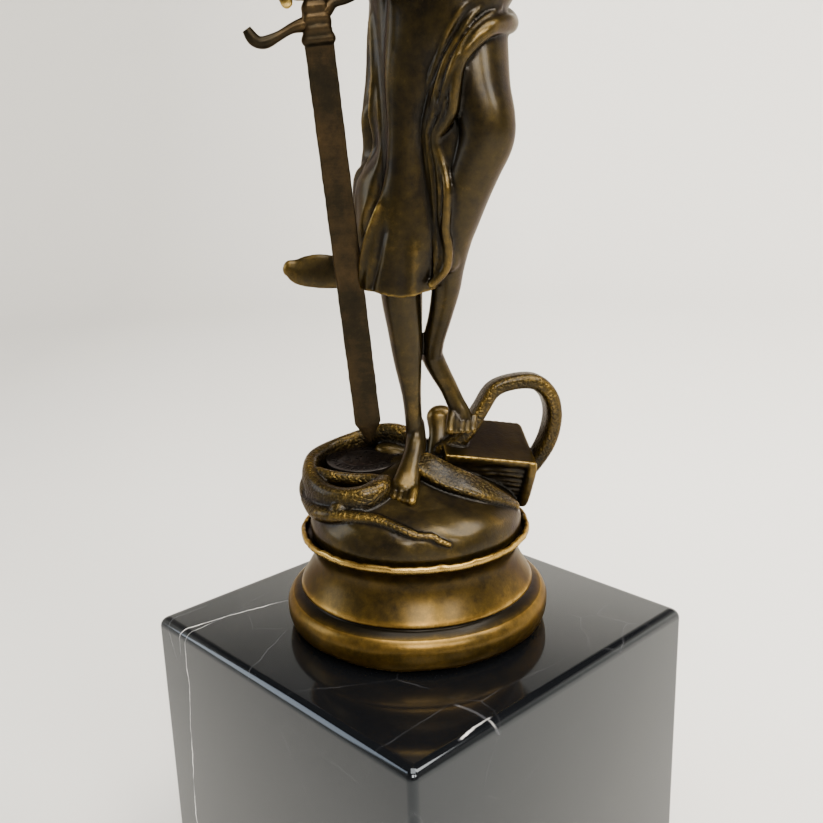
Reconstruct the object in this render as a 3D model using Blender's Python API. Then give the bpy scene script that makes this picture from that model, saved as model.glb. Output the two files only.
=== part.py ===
"""Lady justice statue: a patinated bronze figure on a turned bronze foot and a black marble plinth.

Units: metres, +Z up. The origin is the centre of the plinth's underside. The figure faces -Y,
where a corner of the plinth points too.
"""
import math

import bmesh
import bpy
import numpy as np
from mathutils import Matrix, Vector

# Driving sizes, in metres
PLINTH_SIDE = 0.090
PLINTH_HEIGHT = 0.080
PLINTH_TOP_ARRIS = 0.0024
PLINTH_SIDE_ARRIS = 0.0018
PLINTH_TURN = math.radians(45)

FIT_GAP = 0.0003

FOOT_CONTACT_RADIUS = 0.0275
FOOT_RING_RADIUS = 0.0308
FOOT_RING_HEIGHT = 0.0090
FOOT_GROOVE_RADIUS = 0.0274
FOOT_WAIST_RADIUS = 0.0240
FOOT_LIP_RADIUS = 0.0268
FOOT_HEIGHT = 0.0236
FOOT_LIP_WIDTH = 0.0012
FOOT_GUTTER_DEPTH = 0.0016
FOOT_SIDES = 34
FOOT_GROOVE_DEPTH = 0.0007

FIGURE_HEIGHT = 0.216
SWORD_BLADE_LENGTH = 0.0870
SWORD_BLADE_WIDTH = 0.0059
SWORD_BLADE_THICKNESS = 0.0016
SWORD_POINT_LENGTH = 0.0048
SWORD_GRIP_LENGTH = 0.0190
SWORD_GRIP_RADIUS = 0.0014
SWORD_POMMEL_RADIUS = 0.0023
SWORD_GUARD_RADIUS = 0.0013
SWORD_FIT = 0.0004

SEAL_RADIUS = 0.0088
SEAL_THICKNESS = 0.0011
SEAL_RIM_WIDTH = 0.0007
SEAL_RELIEF = 0.0002
SEAL_SIDES = 24
SEAL_HEADROOM = 0.0040

BEAM_HALF_LENGTH = 0.0165
BEAM_RADIUS = 0.0010
BEAM_ROD_RADIUS = 0.0010
PAN_RADIUS = 0.0068
PAN_DEPTH = 0.0021
PAN_WALL = 0.0009
PAN_DROP = 0.0225
PAN_CORD_RADIUS = 0.0006
PAN_CORDS = 3

# The figure group is modelled in units of its own height: 216 units from sole to crown
FIGURE_UNITS = 216.0
UNIT = FIGURE_HEIGHT / FIGURE_UNITS
SEAT_LEVEL = 22.3
CLAY_VOXEL = 0.62
CLAY_RUB_COUNT = 2
FIGURE_FACES = 6220

# Places in the figure's units, measured from the top of the plinth
SWORD_TIP = Vector((-9.8, 0.6, 42.6))
SWORD_LEAN = Vector((-6.1, -10.2, 86.8)).normalized()
SWORD_TIP_GAP = 0.61
SWORD_TOP = SWORD_TIP + SWORD_LEAN * (SWORD_BLADE_LENGTH / UNIT + SWORD_TIP_GAP)
SWORD_TURN = math.radians(14)
SEAL_CENTRE = Vector((-12.0, 4.6, 37.4))
SEAL_TILT = math.radians(3)
SCALES_HAND = Vector((47.8, -17.6, 271.5))
BEAM_TURN = math.radians(40)
BEAM_LEVEL = 263.0

for old in list(bpy.data.objects):
    bpy.data.objects.remove(old)


def material(name, colour, roughness, metallic):
    made = bpy.data.materials.new(name)
    made.use_nodes = True
    shader = made.node_tree.nodes["Principled BSDF"]
    shader.inputs["Base Color"].default_value = (*colour, 1.0)
    shader.inputs["Roughness"].default_value = roughness
    shader.inputs["Metallic"].default_value = metallic
    return made


BLACK_MARBLE = material("black_marble", (0.012, 0.012, 0.014), 0.08, 0.0)
BRONZE = material("patinated_bronze", (0.16, 0.10, 0.045), 0.38, 0.9)
DARK_BRONZE = material("dark_bronze", (0.05, 0.035, 0.025), 0.42, 0.9)


def to_world(point):
    """A point in figure units as metres above the plinth's underside."""
    seat = PLINTH_HEIGHT + FIT_GAP + FOOT_HEIGHT - FOOT_GUTTER_DEPTH + FIT_GAP
    return Vector((point[0] * UNIT, point[1] * UNIT, seat + (point[2] - SEAT_LEVEL) * UNIT))


def new_object(name, mesh, finish=None):
    made = bpy.data.objects.new(name, mesh)
    bpy.context.collection.objects.link(made)
    if finish:
        made.data.materials.append(finish)
    return made


def mesh_of(name, bm):
    bmesh.ops.recalc_face_normals(bm, faces=bm.faces)
    mesh = bpy.data.meshes.new(name)
    bm.to_mesh(mesh)
    bm.free()
    return mesh


# Free-form tools: every one returns a closed shell as (points, faces) in figure units


def curve_at(keys, t):
    """Catmull-Rom values of the key rows at the parameters t, which run from 0 to rows - 1."""
    keys = np.asarray(keys, float)
    rows = np.vstack([2 * keys[0] - keys[1], keys, 2 * keys[-1] - keys[-2]])
    t = np.asarray(t, float)
    i = np.clip(t.astype(int), 0, len(keys) - 2)
    f = (t - i)[..., None]
    a, b, c, d = rows[i], rows[i + 1], rows[i + 2], rows[i + 3]
    return 0.5 * (2 * b + (c - a) * f + (2 * a - 5 * b + 4 * c - d) * f ** 2
                  + (3 * b - 3 * c + d - a) * f ** 3)


def path_through(keys, count):
    return curve_at(keys, np.linspace(0, len(keys) - 1, count))


def shell(rings):
    """Closed shell through rings of equal length, each end closed by one flat face."""
    rings = np.asarray(rings, float)
    rows, sides = rings.shape[:2]
    faces = []
    for r in range(rows - 1):
        for s in range(sides):
            n = (s + 1) % sides
            faces.append((r * sides + s, r * sides + n, (r + 1) * sides + n, (r + 1) * sides + s))
    faces.append(tuple(range(sides))[::-1])
    faces.append(tuple(range((rows - 1) * sides, rows * sides)))
    return rings.reshape(-1, 3), faces


def tube(keys, up=(0, 0, 1), sides=44, count=40, ends=(True, True), boxy=1.0):
    """Round-ended limb along key rows of x, y, z, half width and half depth.

    A boxy value under 1 squares the section, as of a strap.
    """
    rows = path_through(keys, count)
    path, half = rows[:, :3], np.maximum(rows[:, 3:5], 0.05)
    along = np.gradient(path, axis=0)
    along /= np.linalg.norm(along, axis=1)[:, None]
    side = np.cross(along, np.asarray(up, float))
    side /= np.linalg.norm(side, axis=1)[:, None]
    deep = np.cross(side, along)
    turn = np.linspace(0, 2 * math.pi, sides, endpoint=False)
    wide = np.sign(np.cos(turn)) * np.abs(np.cos(turn)) ** boxy
    tall = np.sign(np.sin(turn)) * np.abs(np.sin(turn)) ** boxy

    def ring(i, push, scale):
        centre = path[i] + along[i] * push
        return (centre + np.outer(wide * half[i, 0] * scale, side[i])
                + np.outer(tall * half[i, 1] * scale, deep[i]))

    rings = []
    steps = (80, 60, 40, 20)
    if ends[0]:
        rings += [ring(0, -half[0].min() * math.sin(math.radians(a)), math.cos(math.radians(a)))
                  for a in steps]
    rings += [ring(i, 0, 1) for i in range(count)]
    if ends[1]:
        rings += [ring(-1, half[-1].min() * math.sin(math.radians(a)), math.cos(math.radians(a)))
                  for a in reversed(steps)]
    return shell(rings)


def ball(centre, radii, turn=(0, 0, 0), sides=36):
    """Ellipsoid with its axes turned by Euler angles in degrees."""
    radii = np.asarray(radii if hasattr(radii, "__len__") else (radii,) * 3, float)
    tilt = np.array(euler(turn))
    rings = []
    for a in np.linspace(4, 176, sides):
        polar = math.radians(a)
        around = np.linspace(0, 2 * math.pi, sides, endpoint=False)
        rings.append(np.stack([np.cos(around) * math.sin(polar), np.sin(around) * math.sin(polar),
                               np.full(sides, math.cos(polar))], 1) * radii)
    rings = np.array(rings) @ tilt.T + np.asarray(centre, float)
    return shell(rings)


def euler(degrees):
    x, y, z = (math.radians(a) for a in degrees)
    return (Matrix.Rotation(z, 3, "Z") @ Matrix.Rotation(y, 3, "Y") @ Matrix.Rotation(x, 3, "X"))


def block(centre, size, turn=(0, 0, 0)):
    """Box with its sides turned by Euler angles in degrees."""
    corner = np.array([(-1, -1), (1, -1), (1, 1), (-1, 1)], float)
    rings = [np.column_stack([corner, np.full(4, z)]) * np.asarray(size) / 2
             for z in np.linspace(-1, 1, 5)]
    return shell(np.array(rings) @ np.array(euler(turn)).T + np.asarray(centre, float))


def ring_radii(table, z, angle):
    """Centre and radius of a section table at heights z and compass angles from the front.

    A table row is z, centre x, centre y, and the radii at eight compass points, from the front
    (-Y) by the figure's left (+X) round to the back.
    """
    table = np.asarray(table, float)
    levels = table[:, 0]
    order = np.argsort(levels)
    t = np.interp(z, levels[order], np.arange(len(levels))[order])
    rows = curve_at(table[:, 1:], t)
    turn = np.mod(angle, 2 * math.pi) / (math.pi / 4)
    k = np.floor(turn).astype(int)
    f = turn - k
    radii = rows[..., 2:]

    def pick(step):
        return np.take_along_axis(radii, ((k + step) % 8)[..., None], axis=-1)[..., 0]

    a, b, c, d = pick(-1), pick(0), pick(1), pick(2)
    radius = 0.5 * (2 * b + (c - a) * f + (2 * a - 5 * b + 4 * c - d) * f ** 2
                    + (3 * b - 3 * c + d - a) * f ** 3)
    return rows[..., 0], rows[..., 1], radius


def fold_height(folds, z, angle):
    """Sum of ridges and grooves, each a height, a width in degrees and a line of (angle, z)."""
    total = np.zeros_like(z)
    degrees = np.degrees(angle)
    for height, width, line in folds:
        line = sorted(line, key=lambda point: point[1])
        levels = [point[1] for point in line]
        centre = np.interp(z, levels, [point[0] for point in line])
        away = (degrees - centre + 180) % 360 - 180
        fade = (np.clip((z - levels[0]) / 5 + 1, 0, 1) * np.clip((levels[-1] - z) / 5 + 1, 0, 1))
        total += height * np.exp(-(away / width) ** 2) * fade ** 2
    return total


def hem_level(hem, angle):
    """Height of a hem given at eight compass points."""
    hem = np.asarray(hem, float)
    turn = np.mod(angle, 2 * math.pi) / (math.pi / 4)
    k = np.floor(turn).astype(int)
    f = turn - k
    f = f * f * (3 - 2 * f)
    return hem[k % 8] * (1 - f) + hem[(k + 1) % 8] * f


def gown(table, top, hem, folds=(), wall=1.3, recess=0, sides=200, count=150, ripple=None):
    """Closed cloth body from a level top to a hem, open underneath where it has a recess."""
    angle = np.linspace(0, 2 * math.pi, sides, endpoint=False)[None, :]
    bottom = hem_level(hem, angle) if hasattr(hem, "__len__") else np.full_like(angle, float(hem))
    v = np.linspace(0, 1, count)[:, None]
    upper = hem_level(top, angle) if hasattr(top, "__len__") else float(top)
    z = upper + (bottom - upper) * v
    angles = np.broadcast_to(angle, z.shape)
    x, y, radius = ring_radii(table, z, angles)
    radius = radius + fold_height(folds, z, angles)
    if ripple:
        radius = radius + ripple(z, angles)
    rings = np.stack([x + radius * np.sin(angles), y - radius * np.cos(angles), z], axis=-1)
    if recess:
        inner = radius[-1] - wall
        for lift in (0.0, 0.5, 1.0):
            level = z[-1] + recess * lift
            ring = np.stack([x[-1] + inner * np.sin(angles[0]),
                             y[-1] - inner * np.cos(angles[0]), level], axis=-1)
            rings = np.concatenate([rings, ring[None]])
    return shell(rings)


def placed(piece, turn, pivot, at, size=1.0):
    """A piece turned by Euler angles about a pivot, which then lies at another point."""
    points, faces = piece
    moved = (points - np.asarray(pivot, float)) * size @ np.array(euler(turn)).T + np.asarray(at, float)
    return moved, faces


# The ground that the figure stands on

MOUND = [
    (22.3, 0.2, 0.0, 24.4, 24.4, 24.4, 24.4, 24.4, 24.4, 24.4, 24.4),
    (25.0, 0.2, 0.0, 24.6, 24.5, 24.5, 24.5, 24.5, 24.5, 24.6, 24.6),
    (28.2, 0.2, 0.0, 23.6, 23.4, 23.3, 23.4, 23.4, 23.4, 23.7, 23.8),
    (30.4, 0.0, 0.2, 21.6, 20.8, 20.6, 21.6, 21.8, 21.6, 22.0, 22.0),
    (32.4, 0.0, 0.4, 17.2, 16.0, 17.0, 18.8, 19.2, 18.8, 18.6, 18.0),
    (35.0, 0.0, 0.8, 11.0, 9.4, 11.8, 14.8, 15.2, 14.2, 12.8, 11.8),
    (37.2, 0.0, 1.4, 5.8, 5.0, 6.2, 9.6, 9.6, 8.6, 7.2, 6.4),
    (38.4, 0.0, 1.8, 1.6, 2.0, 2.4, 3.0, 3.0, 2.6, 2.2, 1.8),
]
SEAL_BED_RADII = (10.0, 9.2, 4.4)
BOOK_CENTRE = (15.6, 11.8, 34.2)
BOOK_SIZE = (21.5, 19.0, 12.5)
BOOK_TURN = (14, 10, 10)
BOOK_LEAVES = 8


def mound():
    def rough(z, angle):
        return (0.16 * np.sin(5 * angle + 0.5 * z) + 0.12 * np.sin(9 * angle - 0.4 * z)
                + 0.09 * np.sin(17 * angle + 1.3 * z + 2 * np.sin(4 * angle))) * np.clip((z - 24) / 4, 0, 1)
    bed = (SEAL_CENTRE.x, SEAL_CENTRE.y + 0.3, SEAL_CENTRE.z - SEAL_BED_RADII[2])
    return [gown(MOUND, MOUND[-1][0], MOUND[0][0], sides=120, count=60, ripple=rough),
            ball(bed, SEAL_BED_RADII),
            tube([(6.5, 11.4, 45.4, 3.4, 3.0), (6.6, 9.6, 42.0, 3.0, 2.5), (6.4, 7.6, 37.6, 3.4, 2.8)],
                 up=(0, -1, 0), count=24, boxy=0.8),
            ball((3.0, 11.0, 36.6), (4.4, 3.6, 3.6), (0, 25, 30)),
            ball((-4.2, 9.6, 37.4), (5.4, 3.2, 2.2), (0, 10, -10))]


def book():
    """Closed book: two boards, a thick rounded spine at the right, and the leaves between."""
    wide, deep, high = BOOK_SIZE
    board = 1.4
    turn = np.array(euler(BOOK_TURN))

    def part(centre, size):
        return block(turn @ np.array(centre) + np.array(BOOK_CENTRE), size, BOOK_TURN)

    pieces = [part((0, 0, high / 2 - board / 2), (wide, deep, board)),
              part((0, 0, -high / 2 + board / 2), (wide, deep, board)),
              part((-0.6, 0.15, 0), (wide - 1.2, deep - 0.5, high - 1.0))]
    front = turn @ np.array((wide / 2 - 0.4, -deep / 2 + 0.2, 0)) + np.array(BOOK_CENTRE)
    rear = turn @ np.array((wide / 2 - 0.4, deep / 2 - 1.0, 0)) + np.array(BOOK_CENTRE)
    pieces.append(tube([(*(front + (rear - front) * s), 1.3, high / 2) for s in (0, 0.3, 0.6, 1)],
                       up=tuple(turn[:, 2]), count=30, boxy=0.5))
    leaf = (high - 2 * board) / BOOK_LEAVES
    uneven = np.random.default_rng(5).uniform(-0.28, 0.28, (BOOK_LEAVES, 2))
    for i in range(BOOK_LEAVES):
        level = -high / 2 + board + leaf * (i + 0.5)
        lean, pull = uneven[i]
        line = [turn @ np.array((x, -deep / 2 + 0.95 + 0.2 * pull + 0.12 * math.sin(x + i),
                                 level + 0.25 * math.sin(0.33 * x + 2 * lean) + lean))
                + np.array(BOOK_CENTRE) for x in np.linspace(-wide / 2 + 1.0, wide / 2 - 1.2, 9)]
        pieces.append(tube([(*point, leaf * 0.46, 0.8) for point in line], up=tuple(turn[:, 1]),
                           sides=12, count=40))
    return pieces


SNAKE_LOOP = [
    (6.6, 6.6, 38.6, 2.0, 2.4), (10.2, 7.0, 40.8, 2.0, 2.8), (13.2, 7.4, 44.2, 1.9, 3.2),
    (16.0, 8.0, 48.6, 1.8, 3.4), (18.9, 8.6, 52.8, 1.8, 3.4), (23.4, 9.2, 54.4, 1.8, 3.4),
    (28.6, 10.0, 54.2, 1.9, 3.7), (32.0, 10.8, 51.0, 1.9, 4.0), (33.2, 11.4, 46.0, 1.9, 4.0),
    (32.4, 12.0, 40.5, 2.0, 3.8), (30.2, 12.6, 35.5, 2.0, 3.4), (26.5, 12.6, 31.0, 2.1, 2.8),
    (21.0, 12.0, 28.5, 2.1, 2.2),
]
SNAKE_STRAP = [
    (1.9, -3.6, 39.2, 3.0, 1.5), (4.0, -5.0, 38.2, 3.4, 1.5), (7.8, -6.3, 36.4, 3.5, 1.5),
    (11.9, -7.2, 34.9, 3.3, 1.5), (16.0, -7.0, 33.0, 2.9, 1.4), (20.0, -5.9, 30.9, 2.1, 1.1),
    (23.4, -4.4, 28.5, 1.2, 0.8),
]
SNAKE_COIL = [
    (3.6, 9.6, 36.2, 1.6, 2.8), (-2.0, 10.6, 40.6, 1.7, 2.8), (-7.0, 12.6, 41.2, 1.7, 2.6),
    (-13.1, 13.4, 39.4, 1.7, 2.6), (-19.4, 10.4, 37.6, 1.8, 3.0), (-23.2, 5.4, 36.2, 1.9, 3.8),
    (-24.0, 0.4, 34.4, 2.1, 4.6), (-22.8, -4.6, 32.8, 2.2, 4.6), (-19.6, -8.8, 32.4, 2.3, 4.0),
    (-15.2, -11.8, 32.8, 2.4, 3.5), (-10.6, -12.8, 33.6, 2.6, 3.5), (-7.4, -11.0, 34.8, 2.6, 3.2),
    (-6.2, -8.4, 35.8, 1.8, 2.4),
]
SNAKE_CURL = [
    (-6.2, -9.0, 36.0, 1.7, 1.9), (-9.4, -6.8, 36.2, 1.4, 1.6), (-14.0, -5.8, 36.2, 1.3, 1.5),
    (-18.6, -4.6, 36.4, 1.3, 1.6), (-21.8, -2.4, 36.2, 1.5, 2.0),
]
SNAKE_TAIL = [
    (-24.2, -3.6, 31.0, 2.0, 1.8), (-21.4, -9.8, 30.2, 2.3, 1.9), (-17.8, -13.2, 30.6, 2.3, 1.8),
    (-13.0, -15.8, 31.2, 1.9, 1.4), (-8.1, -18.2, 31.3, 1.5, 1.2), (-4.8, -20.3, 30.9, 1.2, 1.0),
    (-1.8, -22.0, 30.3, 1.1, 0.9), (1.0, -22.9, 29.4, 0.9, 0.8), (4.2, -22.9, 29.0, 0.8, 0.8),
    (5.8, -23.1, 28.1, 0.7, 0.7), (7.8, -22.9, 27.2, 0.6, 0.6),
]


def snake():
    """Serpent: a flat band that loops up behind the book, crosses the ground and coils round."""
    return [tube(SNAKE_LOOP, up=(0.15, -1, 0.1), count=120, boxy=0.6),
            tube(SNAKE_STRAP, up=(0, -0.45, 0.9), count=70, boxy=0.6),
            tube(SNAKE_COIL, count=150, boxy=0.75),
            tube(SNAKE_CURL, count=60),
            tube(SNAKE_TAIL, count=90),
            ball((-8.8, -11.4, 33.6), (3.4, 3.0, 3.0), (0, 0, 30)),
            ball((-15.0, -12.4, 31.8), (3.8, 2.4, 2.4), (0, 0, 25)),
            ball((-24.0, -1.0, 32.6), (2.6, 4.2, 4.0), (0, 0, -10))]


# Legs and feet

STANDING_LEG = [
    (2.0, -0.6, 150, 8.6, 9.0), (1.4, -1.2, 134, 6.9, 7.2), (0.6, -1.8, 118, 5.8, 6.2),
    (-0.3, -2.2, 104, 4.8, 5.2), (-1.2, -1.2, 92, 4.7, 5.2), (-1.5, -0.4, 84, 4.8, 5.4),
    (-1.45, 0.0, 77, 4.6, 5.0), (-1.05, 0.5, 70, 3.95, 4.2), (-0.6, 1.0, 62, 3.2, 3.4),
    (0.0, 1.6, 54, 2.25, 2.7), (0.3, 2.0, 48, 2.0, 2.6), (0.6, 2.4, 43.6, 2.2, 2.9),
]
BENT_LEG = [
    (13.2, -1.0, 150, 9.0, 9.4), (13.4, -5.0, 138, 8.2, 8.4), (14.0, -8.4, 128.5, 7.6, 7.4),
    (15.2, -11.0, 120, 6.7, 6.5), (16.9, -12.8, 114, 5.8, 5.6), (16.9, -12.8, 110, 5.5, 5.4),
    (14.9, -11.0, 105, 5.2, 5.2), (12.9, -9.2, 100, 5.0, 5.2), (11.1, -7.2, 95, 4.85, 5.1),
    (9.6, -5.2, 90, 4.5, 4.8), (8.6, -3.4, 84, 3.9, 4.2), (8.3, -1.8, 78.8, 3.2, 3.4),
    (6.9, 0.6, 72, 2.65, 2.8), (5.4, 2.8, 66.5, 2.5, 2.7), (4.9, 4.0, 63.0, 2.4, 2.5),
]
STANDING_FOOT = [
    (0.8, 2.6, 46.5, 2.0, 2.6), (0.7, 1.4, 42.8, 2.4, 3.0), (0.3, -1.2, 40.5, 2.5, 2.8),
    (-0.5, -4.6, 38.4, 2.7, 2.5), (-1.3, -7.8, 36.6, 3.0, 2.2), (-1.9, -9.8, 35.5, 3.1, 1.8),
]
POINTED_FOOT = [
    (4.4, 4.4, 66.0, 2.2, 2.4), (5.0, 4.6, 62.0, 2.5, 2.7), (6.8, 4.4, 58.0, 2.3, 2.4),
    (8.4, 4.0, 55.0, 2.1, 2.1), (10.0, 3.4, 51.4, 2.1, 1.9), (11.1, 2.8, 49.0, 2.3, 1.8),
    (11.3, 2.4, 48.0, 2.3, 1.7),
]
TOE_RADIUS = 0.86
TOES = 5


def toes(ball_end, direction, across, lengths, drop):
    """Toes side by side from the ball of a foot, the first one the great toe."""
    made = []
    ball_end, direction, across = (np.asarray(v, float) for v in (ball_end, direction, across))
    for i in range(TOES):
        fat = TOE_RADIUS * (1.35 if i == 0 else 1.0 - 0.05 * i)
        start = ball_end + across * (i - 1.6) * 1.38 - direction * 1.4
        tip = start + direction * (lengths[i] + 1.4) + np.array((0, 0, -drop))
        middle = (start + tip) / 2 + np.array((0, 0, 0.35))
        made.append(tube([(*start, fat, fat), (*middle, fat, fat * 0.95), (*tip, fat, fat * 0.85)],
                         sides=12, count=10))
    return made


def legs():
    return [tube(STANDING_LEG, up=(0, -1, 0), count=120, ends=(False, True)),
            tube(BENT_LEG, up=(0, -1, 0), count=140, ends=(False, True)),
            tube(STANDING_FOOT, up=(0, -0.6, 0.8), count=60),
            tube(POINTED_FOOT, up=(0, -1, 0), count=50),
            ball((3.8, 5.2, 64.0), (2.4, 2.4, 3.6)), ball((1.1, 4.0, 41.6), (2.0, 2.3, 2.4))] + toes(
                (-1.8, -9.6, 35.3), (-0.14, -0.95, -0.26), (-0.98, 0.14, 0),
                (4.6, 4.4, 3.9, 3.3, 2.6), 0.3) + toes(
                (11.2, 1.8, 47.8), (-0.14, -0.72, -0.68), (0.93, 0.1, -0.28),
                (3.6, 3.5, 3.1, 2.7, 2.2), 0.2)


# Drapery

SKIRT = [
    (160, 6.4, 0.5, 10.6, 13.2, 16.4, 13.8, 12.0, 13.8, 16.2, 13.0),
    (148, 6.6, 0.4, 12.2, 16.6, 17.6, 13.6, 12.2, 13.8, 16.4, 13.4),
    (138, 5.4, 0.2, 13.4, 19.6, 17.4, 12.2, 11.2, 12.4, 11.8, 11.4),
    (131, 3.2, -0.2, 12.4, 18.6, 14.4, 11.4, 10.4, 10.6, 9.3, 9.4),
    (124, 1.8, -0.4, 10.8, 14.9, 12.2, 10.8, 10.2, 9.6, 7.9, 8.4),
    (116, 1.0, -0.6, 9.6, 11.8, 11.4, 10.6, 10.2, 9.8, 7.9, 7.6),
    (109, 0.5, -0.8, 9.0, 9.4, 10.8, 10.4, 10.4, 9.4, 6.4, 7.0),
    (102, -0.2, -0.6, 9.2, 10.2, 10.4, 10.2, 10.6, 11.4, 9.8, 7.6),
    (92, -0.6, -0.6, 9.6, 11.0, 9.4, 9.4, 10.8, 12.2, 10.2, 9.6),
    (80, -1.0, -0.6, 9.4, 9.6, 8.4, 8.4, 10.8, 11.6, 9.6, 9.6),
]
SKIRT_HEM = (78.1, 79.2, 86.0, 84.0, 80.0, 78.6, 79.4, 79.0)
SKIRT_FOLDS = [
    (-2.0, 7, [(-52, 140), (-46, 122), (-40, 113), (-40, 105), (-46, 98), (-64, 92), (-84, 87)]),
    (0.9, 6, [(-36, 97), (-48, 91), (-66, 84), (-76, 80)]),
    (-0.8, 7, [(-26, 92), (-34, 86), (-46, 80)]),
    (0.6, 7, [(15, 88), (13, 78)]),
    (0.9, 6, [(-76, 134), (-68, 122), (-80, 112), (-100, 104), (-90, 92)]),
    (-0.8, 6, [(-88, 134), (-82, 120), (-96, 112), (-114, 104), (-106, 92)]),
    (1.0, 6, [(-102, 134), (-96, 120), (-110, 112), (-126, 102)]),
]
BACK_PLEATS = 6
for pleat in range(BACK_PLEATS):
    spread = 112 + pleat * 27
    SKIRT_FOLDS.append((1.7, 8.5, [(175 + (spread - 180) * 0.8, 156), (spread, 124), (spread + 4, 80)]))
    SKIRT_FOLDS.append((-1.0, 5.0, [(188 + (spread - 180) * 0.8, 150), (spread + 13, 124),
                                    (spread + 17, 80)]))

SLIT_EDGE = [
    (12.6, 9.4, 139.6, 0.6), (16.2, 8.4, 138.0, 1.1), (19.6, 5.8, 136.0, 1.5),
    (21.7, 1.0, 134.0, 1.9), (21.9, -5.4, 132.2, 2.0), (20.4, -11.2, 131.6, 1.9),
    (17.2, -16.4, 130.4, 1.6), (13.7, -17.8, 127.3, 1.35), (11.5, -17.7, 124.0, 1.25),
    (10.7, -17.3, 119.3, 1.15), (10.3, -16.2, 115.9, 1.1), (8.8, -14.0, 113.1, 1.1),
    (7.2, -12.2, 110.7, 1.0), (7.4, -12.0, 107.9, 0.95), (8.5, -12.7, 103.8, 0.9),
    (8.9, -13.5, 100.2, 0.9), (8.7, -12.9, 96.0, 0.95), (8.4, -11.8, 92.3, 0.95),
    (8.9, -10.8, 88.7, 1.0), (8.7, -10.0, 85.4, 1.0), (7.8, -9.8, 83.3, 1.0), (5.3, -9.8, 80.8, 0.9),
]
APRON_LINE = [
    (8.6, -11.4, 146.0), (8.8, -11.6, 137.0), (7.7, -11.2, 130.0), (6.1, -10.8, 123.0),
    (4.5, -10.2, 116.0), (3.8, -9.6, 112.0), (4.2, -9.2, 106.0), (5.0, -9.0, 98.0),
    (5.7, -9.2, 90.0), (5.6, -9.2, 84.0),
]
APRON_RIDGES = [(0.5, 0.06, 0.10), (0.8, 0.27, 0.09), (-0.8, 0.44, 0.06), (0.8, 0.60, 0.09),
                (-0.8, 0.80, 0.06)]
LINING = [
    (10.6, -3.0, 134, 6.0, 7.0), (9.8, -5.6, 126, 5.6, 6.6), (10.0, -7.4, 118, 5.4, 5.8),
    (10.6, -8.2, 110, 5.2, 5.2), (10.4, -7.8, 103, 4.8, 4.8), (9.2, -6.6, 95, 4.3, 4.6),
    (8.2, -5.8, 86, 3.7, 4.1),
]
FLAP = [
    (-6.4, 4.2, 86.0, 4.8, 1.8), (-11.0, 6.0, 83.6, 4.3, 1.6), (-16.0, 7.6, 81.6, 3.8, 1.4),
    (-20.8, 8.8, 81.6, 3.9, 1.4), (-25.0, 9.4, 81.6, 3.2, 1.5), (-27.6, 9.6, 82.4, 1.9, 1.3),
]
HIP_SWAGS = [
    [(14.0, 10.6, 149.0), (20.0, 7.8, 148.6), (23.4, 1.6, 148.6), (22.2, -4.8, 150.0),
     (15.6, -11.0, 152.4), (7.0, -11.2, 156.6), (-3.0, -9.6, 161.6)],
]
SWAG_RADII = (1.4,)


def rope(points, radius, up=(0, -1, 0), count=70, ends=(1.0, 1.0), depth=1.0):
    """Round moulding of one radius through points, thinner at the ends where they taper."""
    steps = np.linspace(0, 1, len(points))
    taper = np.interp(steps, [0, 0.2, 0.8, 1], [ends[0], 1, 1, ends[1]])
    return tube([(*p, radius * s, radius * s * depth) for p, s in zip(points, taper)],
                up=up, count=count, sides=24)


def apron():
    """Cloth drawn over the thigh from the front column to the rolled edge, in long folds."""
    rows, cols = 140, 60
    edge = path_through(SLIT_EDGE, rows)[:, :3]
    inner = path_through(APRON_LINE, rows)
    u = np.linspace(0, 1, cols)[None, :, None]
    grid = inner[:, None] * (1 - u) + edge[:, None] * u
    v = np.linspace(0, 1, rows)[:, None, None]
    lift = 1.6 * np.sin(math.pi * u) * (1 - v)
    for height, centre, width in APRON_RIDGES:
        lift = lift + height * np.exp(-((u - centre - 0.05 * np.sin(5 * v)) / width) ** 2) * (
            1.5 - 1.2 * v)
    outward = np.array((0.1, -1.0, 0.12))
    grid = grid + outward * 0.5 * (1 - u)
    front = grid + outward * lift
    back = grid - outward * 2.6
    return shell(np.concatenate([front, back[:, ::-1]], axis=1))


def skirt():
    pieces = [gown(SKIRT, 160, SKIRT_HEM, SKIRT_FOLDS, recess=7),
              tube([(*row[:3], row[3], row[3]) for row in SLIT_EDGE], up=(0.35, 0.9, 0.2), sides=24,
                   count=220),
              apron(), tube(LINING, up=(0, -1, 0), count=70), tube(FLAP, up=(0, -1, 0.15), count=70)]
    for points, radius in zip(HIP_SWAGS, SWAG_RADII):
        pieces.append(rope(points, radius, up=(0, 0, 1), ends=(0.5, 0.4)))
    return pieces


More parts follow.
